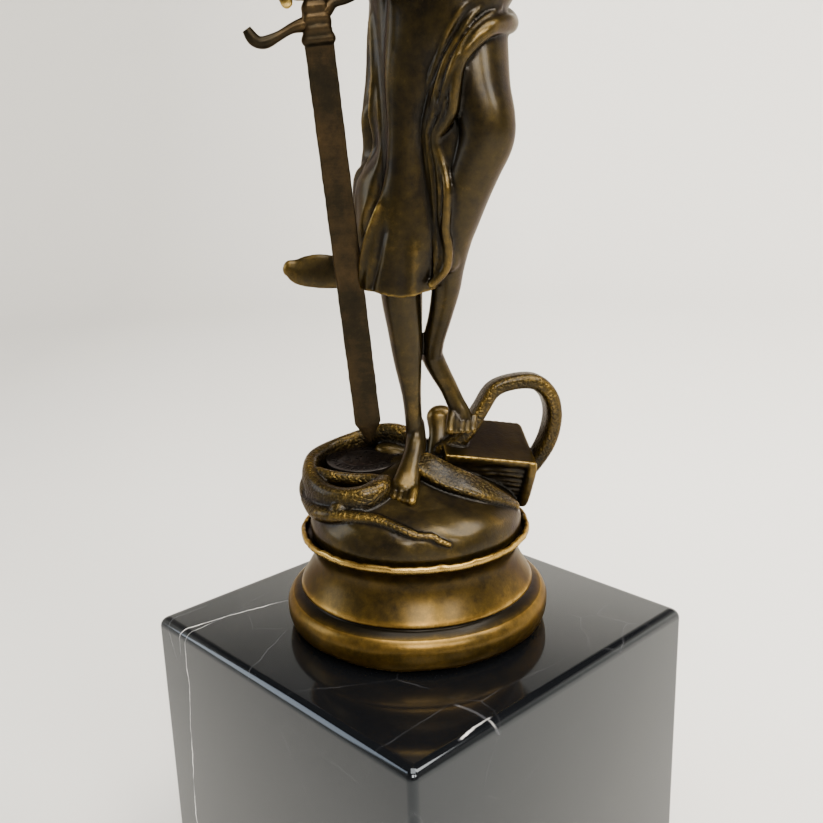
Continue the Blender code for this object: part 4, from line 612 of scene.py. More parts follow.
def soften(mesh, weight):
    """Rubs the joins of limbs smooth without thinning them: each rub in is followed by one out."""
    place, mean = vertex_rows(mesh, "co"), neighbour_mean(mesh)
    for step in (0.63, -0.65) * FLESH_PASSES:
        place = place + (mean(place) - place) * step * weight[:, None]
    mesh.vertices.foreach_set("co", place.ravel())
    mesh.update()


# Plinth and foot

CORNER_POINTS = 8
ARRIS_STEPS = 12
LEAST_ARRIS = 0.0003


def rounded_square(half, radius, level):
    """Ring of points round a square with rounded corners, turned as the plinth stands."""
    points = []
    for corner in range(4):
        start = corner * math.pi / 2
        middle = start + math.pi / 4
        for turn in start + np.linspace(0, math.pi / 2, CORNER_POINTS):
            points.append(((half - radius) * math.sqrt(2) * math.cos(middle) + radius * math.cos(turn),
                           (half - radius) * math.sqrt(2) * math.sin(middle) + radius * math.sin(turn),
                           level))
    return [Matrix.Rotation(PLINTH_TURN, 3, "Z") @ Vector(p) for p in points]


def plinth():
    """Square block with every arris but the lowest rubbed round."""
    half = PLINTH_SIDE / 2
    low, top = PLINTH_LOW[2], PLINTH_HIGH[2]
    rings = [rounded_square(half, PLINTH_SIDE_ARRIS, level) for level in (low, (low + top) / 2)]
    for a in np.linspace(0, math.pi / 2, ARRIS_STEPS):
        inset = PLINTH_TOP_ARRIS * (1 - math.cos(a))
        rings.append(rounded_square(half - inset, max(PLINTH_SIDE_ARRIS - 0.6 * inset, LEAST_ARRIS),
                                    top - PLINTH_TOP_ARRIS * (1 - math.sin(a))))
    stand_for("marble_plinth", "plinth_block", skinned("plinth_block", [rings], angle=50),
              black_marble())


def foot_outline():
    """Outline of the turned foot, from its contact with the stone up and over the lip."""
    ring_mid = FOOT_RING_HEIGHT * FOOT_SWELL_SHARE
    bulge = FOOT_RING_RADIUS - FOOT_GROOVE_RADIUS
    rows = [(FOOT_CONTACT_RADIUS - 0.0006, 0.0), (FOOT_CONTACT_RADIUS, 0.0)]
    for a in np.linspace(-64, 62, 34):
        turn = math.radians(a)
        rows.append((FOOT_GROOVE_RADIUS + bulge * math.cos(turn) ** 0.8,
                     ring_mid + ring_mid * math.sin(turn) * (0.62 if a > 0 else 1.0)))
    neck = FOOT_GROOVE_RADIUS - FOOT_GROOVE_DEPTH
    rows += [(neck + 0.0002, FOOT_RING_HEIGHT - 0.0001), (neck, FOOT_RING_HEIGHT + 0.0002),
             (neck, FOOT_RING_HEIGHT + 0.0005)]
    bell_foot = FOOT_RING_HEIGHT + 0.0009
    waist = FOOT_RING_HEIGHT + (FOOT_HEIGHT - FOOT_RING_HEIGHT) * FOOT_WAIST_SHARE
    for s in np.linspace(0, 1, 30):
        rows.append((FOOT_WAIST_RADIUS + (FOOT_GROOVE_RADIUS - FOOT_WAIST_RADIUS) * (1 - s) ** 1.7,
                     bell_foot + (waist - bell_foot) * s ** 0.8))
    lip_foot = FOOT_HEIGHT - FOOT_LIP_WIDTH
    for s in np.linspace(0.05, 1, 26):
        rows.append((FOOT_WAIST_RADIUS + (FOOT_LIP_RADIUS - FOOT_WAIST_RADIUS) * s ** 2.4,
                     waist + (lip_foot - waist) * s))
    bead = FOOT_LIP_WIDTH * 0.5
    for turn in np.radians(np.linspace(0, 180, 13)[1:]):
        rows.append((FOOT_LIP_RADIUS - bead * (1 - math.cos(turn)),
                     FOOT_HEIGHT - bead + bead * math.sin(turn)))
    gutter = FOOT_LIP_RADIUS - FOOT_LIP_WIDTH * 1.2
    floor = FOOT_HEIGHT - FOOT_GUTTER_DEPTH
    rows += [(gutter, FOOT_HEIGHT - FOOT_GUTTER_DEPTH * 0.9), (gutter - 0.0006, floor), (0.004, floor)]
    return np.array(rows)


FOOT_SIDES = 420
FOOT_NOTCH = math.radians(283)
FOOT_EDGE_BAND, FOOT_EDGE_WAVE = 0.0030, 0.0006
FOOT_LIP_BAND, FOOT_LIP_FADE, FOOT_LIP_INNER = 0.0022, 0.0018, 0.0245
FOOT_LATHE_WAVE = 0.00004


def foot():
    """Turned foot, filed by hand: its lower edge waves a little and its lip is ragged."""
    a = np.linspace(0, 2 * math.pi, FOOT_SIDES, endpoint=False)
    wave = 0.5 + 0.28 * np.sin(5 * a + 0.6) + 0.22 * np.sin(9 * a + 2.1) + 0.14 * np.sin(16 * a)
    ragged = (np.sin(13 * a + 1.0) + np.sin(23 * a + 0.4) * 0.8 + np.sin(41 * a) * 0.6
              + np.sin(67 * a + 2.0) * 0.4)
    notch = np.exp(-((a - FOOT_NOTCH) / 0.03) ** 2)
    rings = []
    for radius, height in foot_outline():
        low = np.clip(1 - height / FOOT_EDGE_BAND, 0, 1) ** 1.5
        lip = np.clip((height - FOOT_HEIGHT + FOOT_LIP_BAND) / FOOT_LIP_FADE, 0, 1)
        lip = lip * (radius > FOOT_LIP_INNER)
        r = (radius - lip * (0.00012 + 0.00007 * ragged + 0.0003 * notch)
             + FOOT_LATHE_WAVE * np.sin(3 * a + radius * 900))
        z = (height + low * FOOT_EDGE_WAVE * np.clip(wave, 0, 1.2)
             - lip * (0.00008 - 0.00005 * ragged))
        z = np.minimum(z, FOOT_HEIGHT)
        rings.append(np.stack([r * np.cos(a), r * np.sin(a), FOOT_LOW[2] + z], 1))
    mesh = new_mesh("turned_foot", *shell(rings))
    mesh.shade_smooth()
    bm = bmesh.new()
    bm.from_mesh(mesh)
    bmesh.ops.recalc_face_normals(bm, faces=bm.faces)
    bm.to_mesh(mesh)
    bm.free()
    finish = cast_bronze("bronze_turned_golden_patina", GOLDEN_STOPS, rubbed=0.4, pitted=0.12,
                         gloss=0.38, coat=0.08)
    wear_and_shade_marks(mesh, fine=0.00012, broad=0.0008)
    stand_for("bronze_foot", "turned_foot", mesh, finish)


# The ground that the figure stands on

MOUND = [
    (22.3, 0.2, 0.0, 24.4, 24.4, 24.4, 24.4, 24.4, 24.4, 24.4, 24.4),
    (25.0, 0.2, 0.0, 24.6, 24.5, 24.5, 24.5, 24.5, 24.5, 24.6, 24.6),
    (28.2, 0.2, 0.0, 23.6, 23.4, 23.3, 23.4, 23.4, 23.4, 23.7, 23.8),
    (30.4, 0.0, 0.2, 21.6, 20.8, 20.6, 21.6, 21.8, 21.6, 22.0, 22.0),
    (32.4, 0.0, 0.4, 17.2, 16.0, 17.0, 18.8, 19.2, 18.8, 18.6, 18.0),
    (35.0, 0.0, 0.8, 11.0, 9.4, 11.8, 14.8, 15.2, 14.2, 12.8, 11.8),
    (37.2, 0.0, 1.4, 5.8, 5.0, 6.2, 9.6, 9.6, 8.6, 7.2, 6.4),
    (38.4, 0.0, 1.8, 1.6, 2.0, 2.4, 3.0, 3.0, 2.6, 2.2, 1.8),
]
SEAL_BED_RADII = (10.0, 9.2, 4.4)
BOOK_CENTRE = (15.6, 11.8, 34.2)
BOOK_SIZE = (21.5, 19.0, 12.5)
BOOK_TURN = (14, 10, 10)
BOOK_LEAVES = 8
BOOK_BOARD = 1.4


def mound():
    def rough(z, angle):
        return (0.16 * np.sin(5 * angle + 0.5 * z) + 0.12 * np.sin(9 * angle - 0.4 * z)
                + 0.09 * np.sin(17 * angle + 1.3 * z + 2 * np.sin(4 * angle))) * np.clip((z - 24) / 4, 0, 1)
    bed = (SEAL_CENTRE.x, SEAL_CENTRE.y + 0.3, SEAL_CENTRE.z - SEAL_BED_RADII[2])
    return [gown(MOUND, MOUND[-1][0], MOUND[0][0], sides=120, count=60, ripple=rough),
            ball(bed, SEAL_BED_RADII),
            tube([(6.5, 11.4, 45.4, 3.4, 3.0), (6.6, 9.6, 42.0, 3.0, 2.5), (6.4, 7.6, 37.6, 3.4, 2.8)],
                 up=(0, -1, 0), count=24, boxy=0.8),
            ball((3.0, 11.0, 36.6), (4.4, 3.6, 3.6), (0, 25, 30)),
            ball((-4.2, 9.6, 37.4), (5.4, 3.2, 2.2), (0, 10, -10))]


def book():
    """Closed book: two boards, a thick rounded spine at the right, and the leaves between."""
    wide, deep, high = BOOK_SIZE
    board = BOOK_BOARD
    turn = np.array(euler(BOOK_TURN))

    def place(*point):
        return turn @ np.array(point) + np.array(BOOK_CENTRE)

    def part(centre, size):
        return block(place(*centre), size, BOOK_TURN)

    pieces = [part((0, 0, high / 2 - board / 2), (wide, deep, board)),
              part((0, 0, -high / 2 + board / 2), (wide, deep, board)),
              part((-0.6, 0.15, 0), (wide - 1.2, deep - 0.5, high - 1.0))]
    front = place(wide / 2 - 0.4, -deep / 2 + 0.2, 0)
    rear = place(wide / 2 - 0.4, deep / 2 - 1.0, 0)
    pieces.append(tube([(*(front + (rear - front) * s), 1.3, high / 2) for s in (0, 0.3, 0.6, 1)],
                       up=tuple(turn[:, 2]), count=30, boxy=0.5))
    leaf = (high - 2 * board) / BOOK_LEAVES
    uneven = np.random.default_rng(5).uniform(-0.28, 0.28, (BOOK_LEAVES, 2))
    for i in range(BOOK_LEAVES):
        level = -high / 2 + board + leaf * (i + 0.5)
        lean, pull = uneven[i]
        line = [place(x, -deep / 2 + 0.95 + 0.2 * pull + 0.12 * math.sin(x + i),
                      level + 0.25 * math.sin(0.33 * x + 2 * lean) + lean)
                for x in np.linspace(-wide / 2 + 1.0, wide / 2 - 1.2, 9)]
        pieces.append(tube([(*point, leaf * 0.46, 0.8) for point in line], up=tuple(turn[:, 1]),
                           sides=12, count=40))
    return pieces


SNAKE_LOOP = [
    (6.6, 6.6, 38.6, 2.0, 2.4), (10.2, 7.0, 40.8, 2.0, 2.8), (13.2, 7.4, 44.2, 1.9, 3.2),
    (16.0, 8.0, 48.6, 1.8, 3.4), (18.9, 8.6, 52.8, 1.8, 3.4), (23.4, 9.2, 54.4, 1.8, 3.4),
    (28.6, 10.0, 54.2, 1.9, 3.7), (32.0, 10.8, 51.0, 1.9, 4.0), (33.2, 11.4, 46.0, 1.9, 4.0),
    (32.4, 12.0, 40.5, 2.0, 3.8), (30.2, 12.6, 35.5, 2.0, 3.4), (26.5, 12.6, 31.0, 2.1, 2.8),
    (21.0, 12.0, 28.5, 2.1, 2.2),
]
SNAKE_STRAP = [
    (1.9, -3.6, 39.2, 3.0, 1.5), (4.0, -5.0, 38.2, 3.4, 1.5), (7.8, -6.3, 36.4, 3.5, 1.5),
    (11.9, -7.2, 34.9, 3.3, 1.5), (16.0, -7.0, 33.0, 2.9, 1.4), (20.0, -5.9, 30.9, 2.1, 1.1),
    (23.4, -4.4, 28.5, 1.2, 0.8),
]
SNAKE_COIL = [
    (3.6, 9.6, 36.2, 1.6, 2.8), (-2.0, 10.6, 40.6, 1.7, 2.8), (-7.0, 12.6, 41.2, 1.7, 2.6),
    (-13.1, 13.4, 39.4, 1.7, 2.6), (-19.4, 10.4, 37.6, 1.8, 3.0), (-23.2, 5.4, 36.2, 1.9, 3.8),
    (-24.0, 0.4, 34.4, 2.1, 4.6), (-22.8, -4.6, 32.8, 2.2, 4.6), (-19.6, -8.8, 32.4, 2.3, 4.0),
    (-15.2, -11.8, 32.8, 2.4, 3.5), (-10.6, -12.8, 33.6, 2.6, 3.5), (-7.4, -11.0, 34.8, 2.6, 3.2),
    (-6.2, -8.4, 35.8, 1.8, 2.4),
]
SNAKE_CURL = [
    (-6.2, -9.0, 36.0, 1.7, 1.9), (-9.4, -6.8, 36.2, 1.4, 1.6), (-14.0, -5.8, 36.2, 1.3, 1.5),
    (-18.6, -4.6, 36.4, 1.3, 1.6), (-21.8, -2.4, 36.2, 1.5, 2.0),
]
SNAKE_TAIL = [
    (-24.2, -3.6, 31.0, 2.0, 1.8), (-21.4, -9.8, 30.2, 2.3, 1.9), (-17.8, -13.2, 30.6, 2.3, 1.8),
    (-13.0, -15.8, 31.2, 1.9, 1.4), (-8.1, -18.2, 31.3, 1.5, 1.2), (-4.8, -20.3, 30.9, 1.2, 1.0),
    (-1.8, -22.0, 30.3, 1.1, 0.9), (1.0, -22.9, 29.4, 0.9, 0.8), (4.2, -22.9, 29.0, 0.8, 0.8),
    (5.8, -23.1, 28.1, 0.7, 0.7), (7.8, -22.9, 27.2, 0.6, 0.6),
]


def snake():
    """Serpent: a flat band that loops up behind the book, crosses the ground and coils round."""
    return [tube(SNAKE_LOOP, up=(0.15, -1, 0.1), count=120, boxy=0.6),
            tube(SNAKE_STRAP, up=(0, -0.45, 0.9), count=70, boxy=0.6),
            tube(SNAKE_COIL, count=150, boxy=0.75),
            tube(SNAKE_CURL, count=60),
            tube(SNAKE_TAIL, count=90),
            ball((-8.8, -11.4, 33.6), (3.4, 3.0, 3.0), (0, 0, 30)),
            ball((-15.0, -12.4, 31.8), (3.8, 2.4, 2.4), (0, 0, 25)),
            ball((-24.0, -1.0, 32.6), (2.6, 4.2, 4.0), (0, 0, -10))]


# Legs and feet

STANDING_LEG = [
    (2.0, -0.6, 150, 8.6, 9.0), (1.4, -1.2, 134, 6.9, 7.2), (0.6, -1.8, 118, 5.8, 6.2),
    (-0.3, -2.2, 104, 4.8, 5.2), (-1.2, -1.2, 92, 4.7, 5.2), (-1.5, -0.4, 84, 4.8, 5.4),
    (-1.45, 0.0, 77, 4.6, 5.0), (-1.05, 0.5, 70, 3.95, 4.2), (-0.6, 1.0, 62, 3.2, 3.4),
    (0.0, 1.6, 54, 2.25, 2.7), (0.3, 2.0, 48, 2.0, 2.6), (0.6, 2.4, 43.6, 2.2, 2.9),
]
BENT_LEG = [
    (13.2, -1.0, 150, 9.0, 9.4), (13.4, -5.0, 138, 8.2, 8.4), (14.0, -8.4, 128.5, 7.6, 7.4),
    (15.2, -11.0, 120, 6.7, 6.5), (16.9, -12.8, 114, 5.8, 5.6), (16.9, -12.8, 110, 5.5, 5.4),
    (14.9, -11.0, 105, 5.2, 5.2), (12.9, -9.2, 100, 5.0, 5.2), (11.1, -7.2, 95, 4.85, 5.1),
    (9.6, -5.2, 90, 4.5, 4.8), (8.6, -3.4, 84, 3.9, 4.2), (8.3, -1.8, 78.8, 3.2, 3.4),
    (6.9, 0.6, 72, 2.65, 2.8), (5.4, 2.8, 66.5, 2.5, 2.7), (4.9, 4.0, 63.0, 2.4, 2.5),
]
STANDING_FOOT = [
    (0.8, 2.6, 46.5, 2.0, 2.6), (0.7, 1.4, 42.8, 2.4, 3.0), (0.3, -1.2, 40.5, 2.5, 2.8),
    (-0.5, -4.6, 38.4, 2.7, 2.5), (-1.3, -7.8, 36.6, 3.0, 2.2), (-1.9, -9.8, 35.5, 3.1, 1.8),
]
POINTED_FOOT = [
    (4.4, 4.4, 66.0, 2.2, 2.4), (5.0, 4.6, 62.0, 2.5, 2.7), (6.8, 4.4, 58.0, 2.3, 2.4),
    (8.4, 4.0, 55.0, 2.1, 2.1), (10.0, 3.4, 51.4, 2.1, 1.9), (11.1, 2.8, 49.0, 2.3, 1.8),
    (11.3, 2.4, 48.0, 2.3, 1.7),
]
TOE_RADIUS = 0.86
TOES = 5


def toes(ball_end, direction, across, lengths, drop):
    """Toes side by side from the ball of a foot, the first one the great toe."""
    made = []
    ball_end, direction, across = (np.asarray(v, float) for v in (ball_end, direction, across))
    for i in range(TOES):
        fat = TOE_RADIUS * (1.35 if i == 0 else 1.0 - 0.05 * i)
        start = ball_end + across * (i - 1.6) * 1.38 - direction * 1.4
        tip = start + direction * (lengths[i] + 1.4) + np.array((0, 0, -drop))
        middle = (start + tip) / 2 + np.array((0, 0, 0.35))
        made.append(tube([(*start, fat, fat), (*middle, fat, fat * 0.95), (*tip, fat, fat * 0.85)],
                         sides=12, count=10))
    return made


def legs():
    return [tube(STANDING_LEG, up=(0, -1, 0), count=120, ends=(False, True)),
            tube(BENT_LEG, up=(0, -1, 0), count=140, ends=(False, True)),
            tube(STANDING_FOOT, up=(0, -0.6, 0.8), count=60),
            tube(POINTED_FOOT, up=(0, -1, 0), count=50),
            ball((3.8, 5.2, 64.0), (2.4, 2.4, 3.6)), ball((1.1, 4.0, 41.6), (2.0, 2.3, 2.4)),
            *toes((-1.8, -9.6, 35.3), (-0.14, -0.95, -0.26), (-0.98, 0.14, 0),
                  (4.6, 4.4, 3.9, 3.3, 2.6), 0.3),
            *toes((11.2, 1.8, 47.8), (-0.14, -0.72, -0.68), (0.93, 0.1, -0.28),
                  (3.6, 3.5, 3.1, 2.7, 2.2), 0.2)]


# Drapery

SKIRT = [
    (160, 6.4, 0.5, 10.6, 13.2, 16.4, 13.8, 12.0, 13.8, 16.2, 13.0),
    (148, 6.6, 0.4, 12.2, 16.6, 17.6, 13.6, 12.2, 13.8, 16.4, 13.4),
    (138, 5.4, 0.2, 13.4, 19.6, 17.4, 12.2, 11.2, 12.4, 11.8, 11.4),
    (131, 3.2, -0.2, 12.4, 18.6, 14.4, 11.4, 10.4, 10.6, 9.3, 9.4),
    (124, 1.8, -0.4, 10.8, 14.9, 12.2, 10.8, 10.2, 9.6, 7.9, 8.4),
    (116, 1.0, -0.6, 9.6, 11.8, 11.4, 10.6, 10.2, 9.8, 7.9, 7.6),
    (109, 0.5, -0.8, 9.0, 9.4, 10.8, 10.4, 10.4, 9.4, 6.4, 7.0),
    (102, -0.2, -0.6, 9.2, 10.2, 10.4, 10.2, 10.6, 11.4, 9.8, 7.6),
    (92, -0.6, -0.6, 9.6, 11.0, 9.4, 9.4, 10.8, 12.2, 10.2, 9.6),
    (80, -1.0, -0.6, 9.4, 9.6, 8.4, 8.4, 10.8, 11.6, 9.6, 9.6),
]
SKIRT_HEM = (78.1, 79.2, 86.0, 84.0, 80.0, 78.6, 79.4, 79.0)
SKIRT_FOLDS = [
    (-2.0, 7, [(-52, 140), (-46, 122), (-40, 113), (-40, 105), (-46, 98), (-64, 92), (-84, 87)]),
    (0.9, 6, [(-36, 97), (-48, 91), (-66, 84), (-76, 80)]),
    (-0.8, 7, [(-26, 92), (-34, 86), (-46, 80)]),
    (0.6, 7, [(15, 88), (13, 78)]),
    (0.9, 6, [(-76, 134), (-68, 122), (-80, 112), (-100, 104), (-90, 92)]),
    (-0.8, 6, [(-88, 134), (-82, 120), (-96, 112), (-114, 104), (-106, 92)]),
    (1.0, 6, [(-102, 134), (-96, 120), (-110, 112), (-126, 102)]),
]
BACK_PLEATS = 6
for pleat in range(BACK_PLEATS):
    spread = 112 + pleat * 27
    SKIRT_FOLDS.append((1.7, 8.5, [(175 + (spread - 180) * 0.8, 156), (spread, 124), (spread + 4, 80)]))
    SKIRT_FOLDS.append((-1.0, 5.0, [(188 + (spread - 180) * 0.8, 150), (spread + 13, 124),
                                    (spread + 17, 80)]))

SLIT_EDGE = [
    (12.6, 9.4, 139.6, 0.6), (16.2, 8.4, 138.0, 1.1), (19.6, 5.8, 136.0, 1.5),
    (21.7, 1.0, 134.0, 1.9), (21.9, -5.4, 132.2, 2.0), (20.4, -11.2, 131.6, 1.9),
    (17.2, -16.4, 130.4, 1.6), (13.7, -17.8, 127.3, 1.35), (11.5, -17.7, 124.0, 1.25),
    (10.7, -17.3, 119.3, 1.15), (10.3, -16.2, 115.9, 1.1), (8.8, -14.0, 113.1, 1.1),
    (7.2, -12.2, 110.7, 1.0), (7.4, -12.0, 107.9, 0.95), (8.5, -12.7, 103.8, 0.9),
    (8.9, -13.5, 100.2, 0.9), (8.7, -12.9, 96.0, 0.95), (8.4, -11.8, 92.3, 0.95),
    (8.9, -10.8, 88.7, 1.0), (8.7, -10.0, 85.4, 1.0), (7.8, -9.8, 83.3, 1.0), (5.3, -9.8, 80.8, 0.9),
]
APRON_LINE = [
    (8.6, -11.4, 146.0), (8.8, -11.6, 137.0), (7.7, -11.2, 130.0), (6.1, -10.8, 123.0),
    (4.5, -10.2, 116.0), (3.8, -9.6, 112.0), (4.2, -9.2, 106.0), (5.0, -9.0, 98.0),
    (5.7, -9.2, 90.0), (5.6, -9.2, 84.0),
]
APRON_RIDGES = [(0.5, 0.06, 0.10), (0.8, 0.27, 0.09), (-0.8, 0.44, 0.06), (0.8, 0.60, 0.09),
                (-0.8, 0.80, 0.06)]
LINING = [
    (10.6, -3.0, 134, 6.0, 7.0), (9.8, -5.6, 126, 5.6, 6.6), (10.0, -7.4, 118, 5.4, 5.8),
    (10.6, -8.2, 110, 5.2, 5.2), (10.4, -7.8, 103, 4.8, 4.8), (9.2, -6.6, 95, 4.3, 4.6),
    (8.2, -5.8, 86, 3.7, 4.1),
]
FLAP = [
    (-6.4, 4.2, 86.0, 4.8, 1.8), (-11.0, 6.0, 83.6, 4.3, 1.6), (-16.0, 7.6, 81.6, 3.8, 1.4),
    (-20.8, 8.8, 81.6, 3.9, 1.4), (-25.0, 9.4, 81.6, 3.2, 1.5), (-27.6, 9.6, 82.4, 1.9, 1.3),
]
HIP_SWAG = [
    (14.0, 10.6, 149.0), (20.0, 7.8, 148.6), (23.4, 1.6, 148.6), (22.2, -4.8, 150.0),
    (15.6, -11.0, 152.4), (7.0, -11.2, 156.6), (-3.0, -9.6, 161.6),
]
SWAG_RADIUS = 1.4
# Small folds gathered at the hip beside the rolled edge, laid half into the cloth
HIP_GATHERS = [
    [(20.0, -11.6, 134.6), (16.9, -15.2, 132.2), (13.7, -17.0, 129.3), (11.0, -18.2, 125.2),
     (9.2, -16.7, 120.4), (7.3, -14.1, 115.8)],
    [(17.1, -14.3, 135.5), (14.4, -15.0, 133.0), (11.9, -15.2, 129.5), (9.3, -14.9, 125.4),
     (7.7, -14.5, 121.2), (5.8, -12.7, 116.6)],
    [(14.4, -15.3, 135.8), (11.9, -15.2, 133.8), (9.6, -14.6, 130.3), (7.8, -13.3, 126.1),
     (6.3, -12.3, 122.5), (5.1, -11.3, 119.7)],
]
GATHER_RADII = (0.9, 0.8, 0.7)


def apron():
    """Cloth drawn over the thigh from the front column to the rolled edge, in long folds."""
    rows, cols = 220, 110
    edge = path_through(SLIT_EDGE, rows)[:, :3]
    inner = path_through(APRON_LINE, rows)
    u = np.linspace(0, 1, cols)[None, :, None]
    grid = inner[:, None] * (1 - u) + edge[:, None] * u
    v = np.linspace(0, 1, rows)[:, None, None]
    lift = 1.6 * np.sin(math.pi * u) * (1 - v)
    for height, centre, width in APRON_RIDGES:
        lift = lift + height * np.exp(-((u - centre - 0.05 * np.sin(5 * v)) / width) ** 2) * (
            1.5 - 1.2 * v)
    gathers = np.sin(2 * math.pi * (4.2 * u + 0.9 * v + 0.12 * np.sin(17 * v)))
    lift = lift + 0.5 * gathers * np.clip(4 * u - 0.8, 0, 1) * np.clip(1.1 - 1.7 * v, 0, 1)
    outward = np.array((0.1, -1.0, 0.12))
    grid = grid + outward * 0.5 * (1 - u)
    front = grid + outward * lift
    back = grid - outward * 2.6
    return shell(np.concatenate([front, back[:, ::-1]], axis=1))


def skirt():
    return [gown(SKIRT, 160, SKIRT_HEM, SKIRT_FOLDS, recess=7),
            tube([(*row, row[3]) for row in SLIT_EDGE], up=(0.35, 0.9, 0.2), sides=24, count=220),
            apron(), tube(LINING, up=(0, -1, 0), count=70), tube(FLAP, up=(0, -1, 0.15), count=70),
            rope(HIP_SWAG, SWAG_RADIUS, (0, 0, 1), (0.5, 0.4)),
            *(rope(points, radius, (0, -1, 0), (0.4, 0.3))
              for points, radius in zip(HIP_GATHERS, GATHER_RADII))]


TORSO = [
    (150, 6.8, 0.5, 10.8, 13.8, 17.0, 14.0, 12.2, 14.0, 16.6, 13.4),
    (158, 6.4, 0.5, 10.6, 13.0, 16.0, 14.0, 12.2, 14.0, 15.8, 13.0),
    (166, 5.8, 0.4, 9.4, 11.4, 13.6, 11.8, 9.4, 11.8, 13.6, 11.4),
    (174, 5.0, 0.2, 8.4, 9.8, 11.2, 9.6, 8.0, 9.6, 11.2, 9.8),
    (182, 4.2, 0.0, 9.0, 10.8, 11.8, 10.0, 8.6, 10.0, 11.8, 10.8),
    (190, 3.6, 0.0, 10.8, 13.0, 13.0, 11.0, 9.8, 11.0, 13.0, 13.0),
    (198, 3.2, 0.2, 10.4, 12.6, 13.8, 12.0, 10.4, 12.0, 13.8, 12.6),
    (205, 3.0, 0.6, 8.4, 11.2, 15.2, 12.4, 10.0, 12.4, 15.2, 11.2),
    (211, 3.0, 1.2, 6.4, 9.4, 15.6, 11.4, 8.4, 11.4, 15.6, 9.4),
    (215, 3.0, 1.6, 5.2, 6.6, 12.4, 8.4, 6.4, 8.4, 12.4, 6.6),
    (218, 3.0, 1.8, 4.2, 4.6, 6.6, 5.6, 4.8, 5.6, 6.6, 4.6),
    (221, 3.0, 1.8, 3.6, 3.8, 4.2, 4.2, 4.0, 4.2, 4.2, 3.8),
]
BODICE_TOP = (200.5, 209.0, 205.0, 210.0, 205.5, 210.0, 205.0, 209.0)
PEPLUM = [
    (175, 5.0, 0.2, 9.4, 10.8, 12.2, 10.6, 9.0, 10.6, 12.2, 10.8),
    (168, 5.6, 0.3, 11.0, 13.0, 15.0, 13.0, 10.8, 13.0, 15.0, 13.0),
    (160, 6.2, 0.4, 13.0, 15.6, 18.4, 15.8, 13.8, 15.8, 18.2, 15.4),
    (150, 6.6, 0.4, 14.4, 17.4, 20.0, 16.4, 15.0, 16.4, 19.6, 16.6),
]
PEPLUM_HEM = (158.0, 154.0, 151.0, 155.0, 153.0, 156.0, 152.0, 156.0)
PEPLUM_PLEATS = 18
BELT_LEVEL = 175.0
DRESS_THICKNESS = 0.9
BODICE_FOLDS = []
for fold in range(4):
    for mirror in (-1, 1):
        BODICE_FOLDS.append((0.75, 6, [(mirror * (10 + 20 * fold), 176), (mirror * (16 + 12 * fold), 190),
                                       (mirror * (34 + 9 * fold), 203)]))
        BODICE_FOLDS.append((0.8, 8, [(180 + mirror * (8 + 20 * fold), 176),
                                      (180 + mirror * (20 + 14 * fold), 203)]))


def torso():
    def pleated(z, angle):
        deep = np.clip((172 - z) / 12, 0, 1)
        return 1.25 * deep * np.abs(np.sin(PEPLUM_PLEATS / 2 * angle + 0.6 * np.sin(3 * angle))) ** 0.7

    dress = [(*row[:3], *(radius + DRESS_THICKNESS for radius in row[3:])) for row in TORSO]
    return [gown(TORSO, TORSO[-1][0], TORSO[0][0], sides=120, count=90),
            gown(dress, BODICE_TOP, 156, BODICE_FOLDS, sides=200, count=90),
            level_rope(dress, BODICE_TOP, 0.0, 0.8),
            level_rope(TORSO, (BELT_LEVEL,) * 8, 1.3, 1.1, depth=1.6),
            *straps(dress),
            gown(PEPLUM, BELT_LEVEL, PEPLUM_HEM, wall=2.6, recess=4, ripple=pleated, sides=240, count=60),
            ball((-2.2, -7.2, 192.0), (5.6, 5.2, 5.6), (12, 0, 8)),
            ball((9.0, -7.0, 192.0), (5.6, 5.2, 5.6), (12, 0, -8))]


def straps(dress):
    """Cloth over each shoulder, held by a round clasp."""
    pieces = []
    for mirror, turn in ((-1, math.radians(-45)), (1, math.radians(45))):
        front = surface_point(dress, 208.0, turn)
        rear = surface_point(dress, 209.0, math.pi - turn)
        crown = np.array((3.0 + mirror * 11.6, 0.6, 216.2))
        keys = [(*front, 3.0, 0.9), (*((front * 0.5 + crown * 0.5) + np.array((0, -1.4, 1.2))), 2.4, 0.9),
                (*crown, 1.8, 1.0), (*((rear * 0.5 + crown * 0.5) + np.array((0, 1.6, 1.4))), 2.4, 0.9),
                (*rear, 3.0, 0.9)]
        pieces += [tube(keys, up=(0.2 * mirror, 0, 1), count=40), ball(crown + (0, -0.8, 0.6), 1.9)]
    return pieces


# Arms and hands

SWORD_HAND_ABOVE = 12.5


def sword_axis():
    return (SWORD_TOP - SWORD_TIP).normalized()


def sword_grip_centre():
    return SWORD_TOP + sword_axis() * SWORD_HAND_ABOVE


SWORD_ARM = [
    (-13.0, 1.2, 211.4, 4.6, 5.0), (-16.6, 1.8, 206.0, 4.6, 5.0), (-20.6, 3.8, 193.0, 3.9, 4.3),
    (-23.2, 5.6, 181.0, 3.3, 3.5), (-23.6, 5.2, 175.0, 3.3, 3.6), (-22.8, 1.8, 166.0, 3.1, 3.3),
    (-21.6, -2.8, 157.0, 2.5, 2.7), (-20.8, -5.6, 151.0, 2.0, 2.4), (-20.4, -7.4, 147.0, 2.1, 2.6),
]
SCALES_ARM = [
    (18.6, 1.2, 209.8, 5.0, 5.2), (24.6, -0.2, 215.6, 4.6, 4.9), (33.4, -3.4, 225.0, 3.9, 4.2),
    (41.0, -6.6, 233.4, 3.3, 3.5), (44.2, -8.2, 239.4, 3.2, 3.4), (45.4, -9.6, 248.0, 3.1, 3.2),
    (46.3, -11.4, 258.6, 2.4, 2.6), (46.9, -12.6, 265.6, 1.9, 2.3), (47.0, -13.4, 268.6, 2.1, 2.6),
]
FINGER_RADIUS = 0.95
FINGER_PITCH = 1.85
FINGER_REACH = 2.7


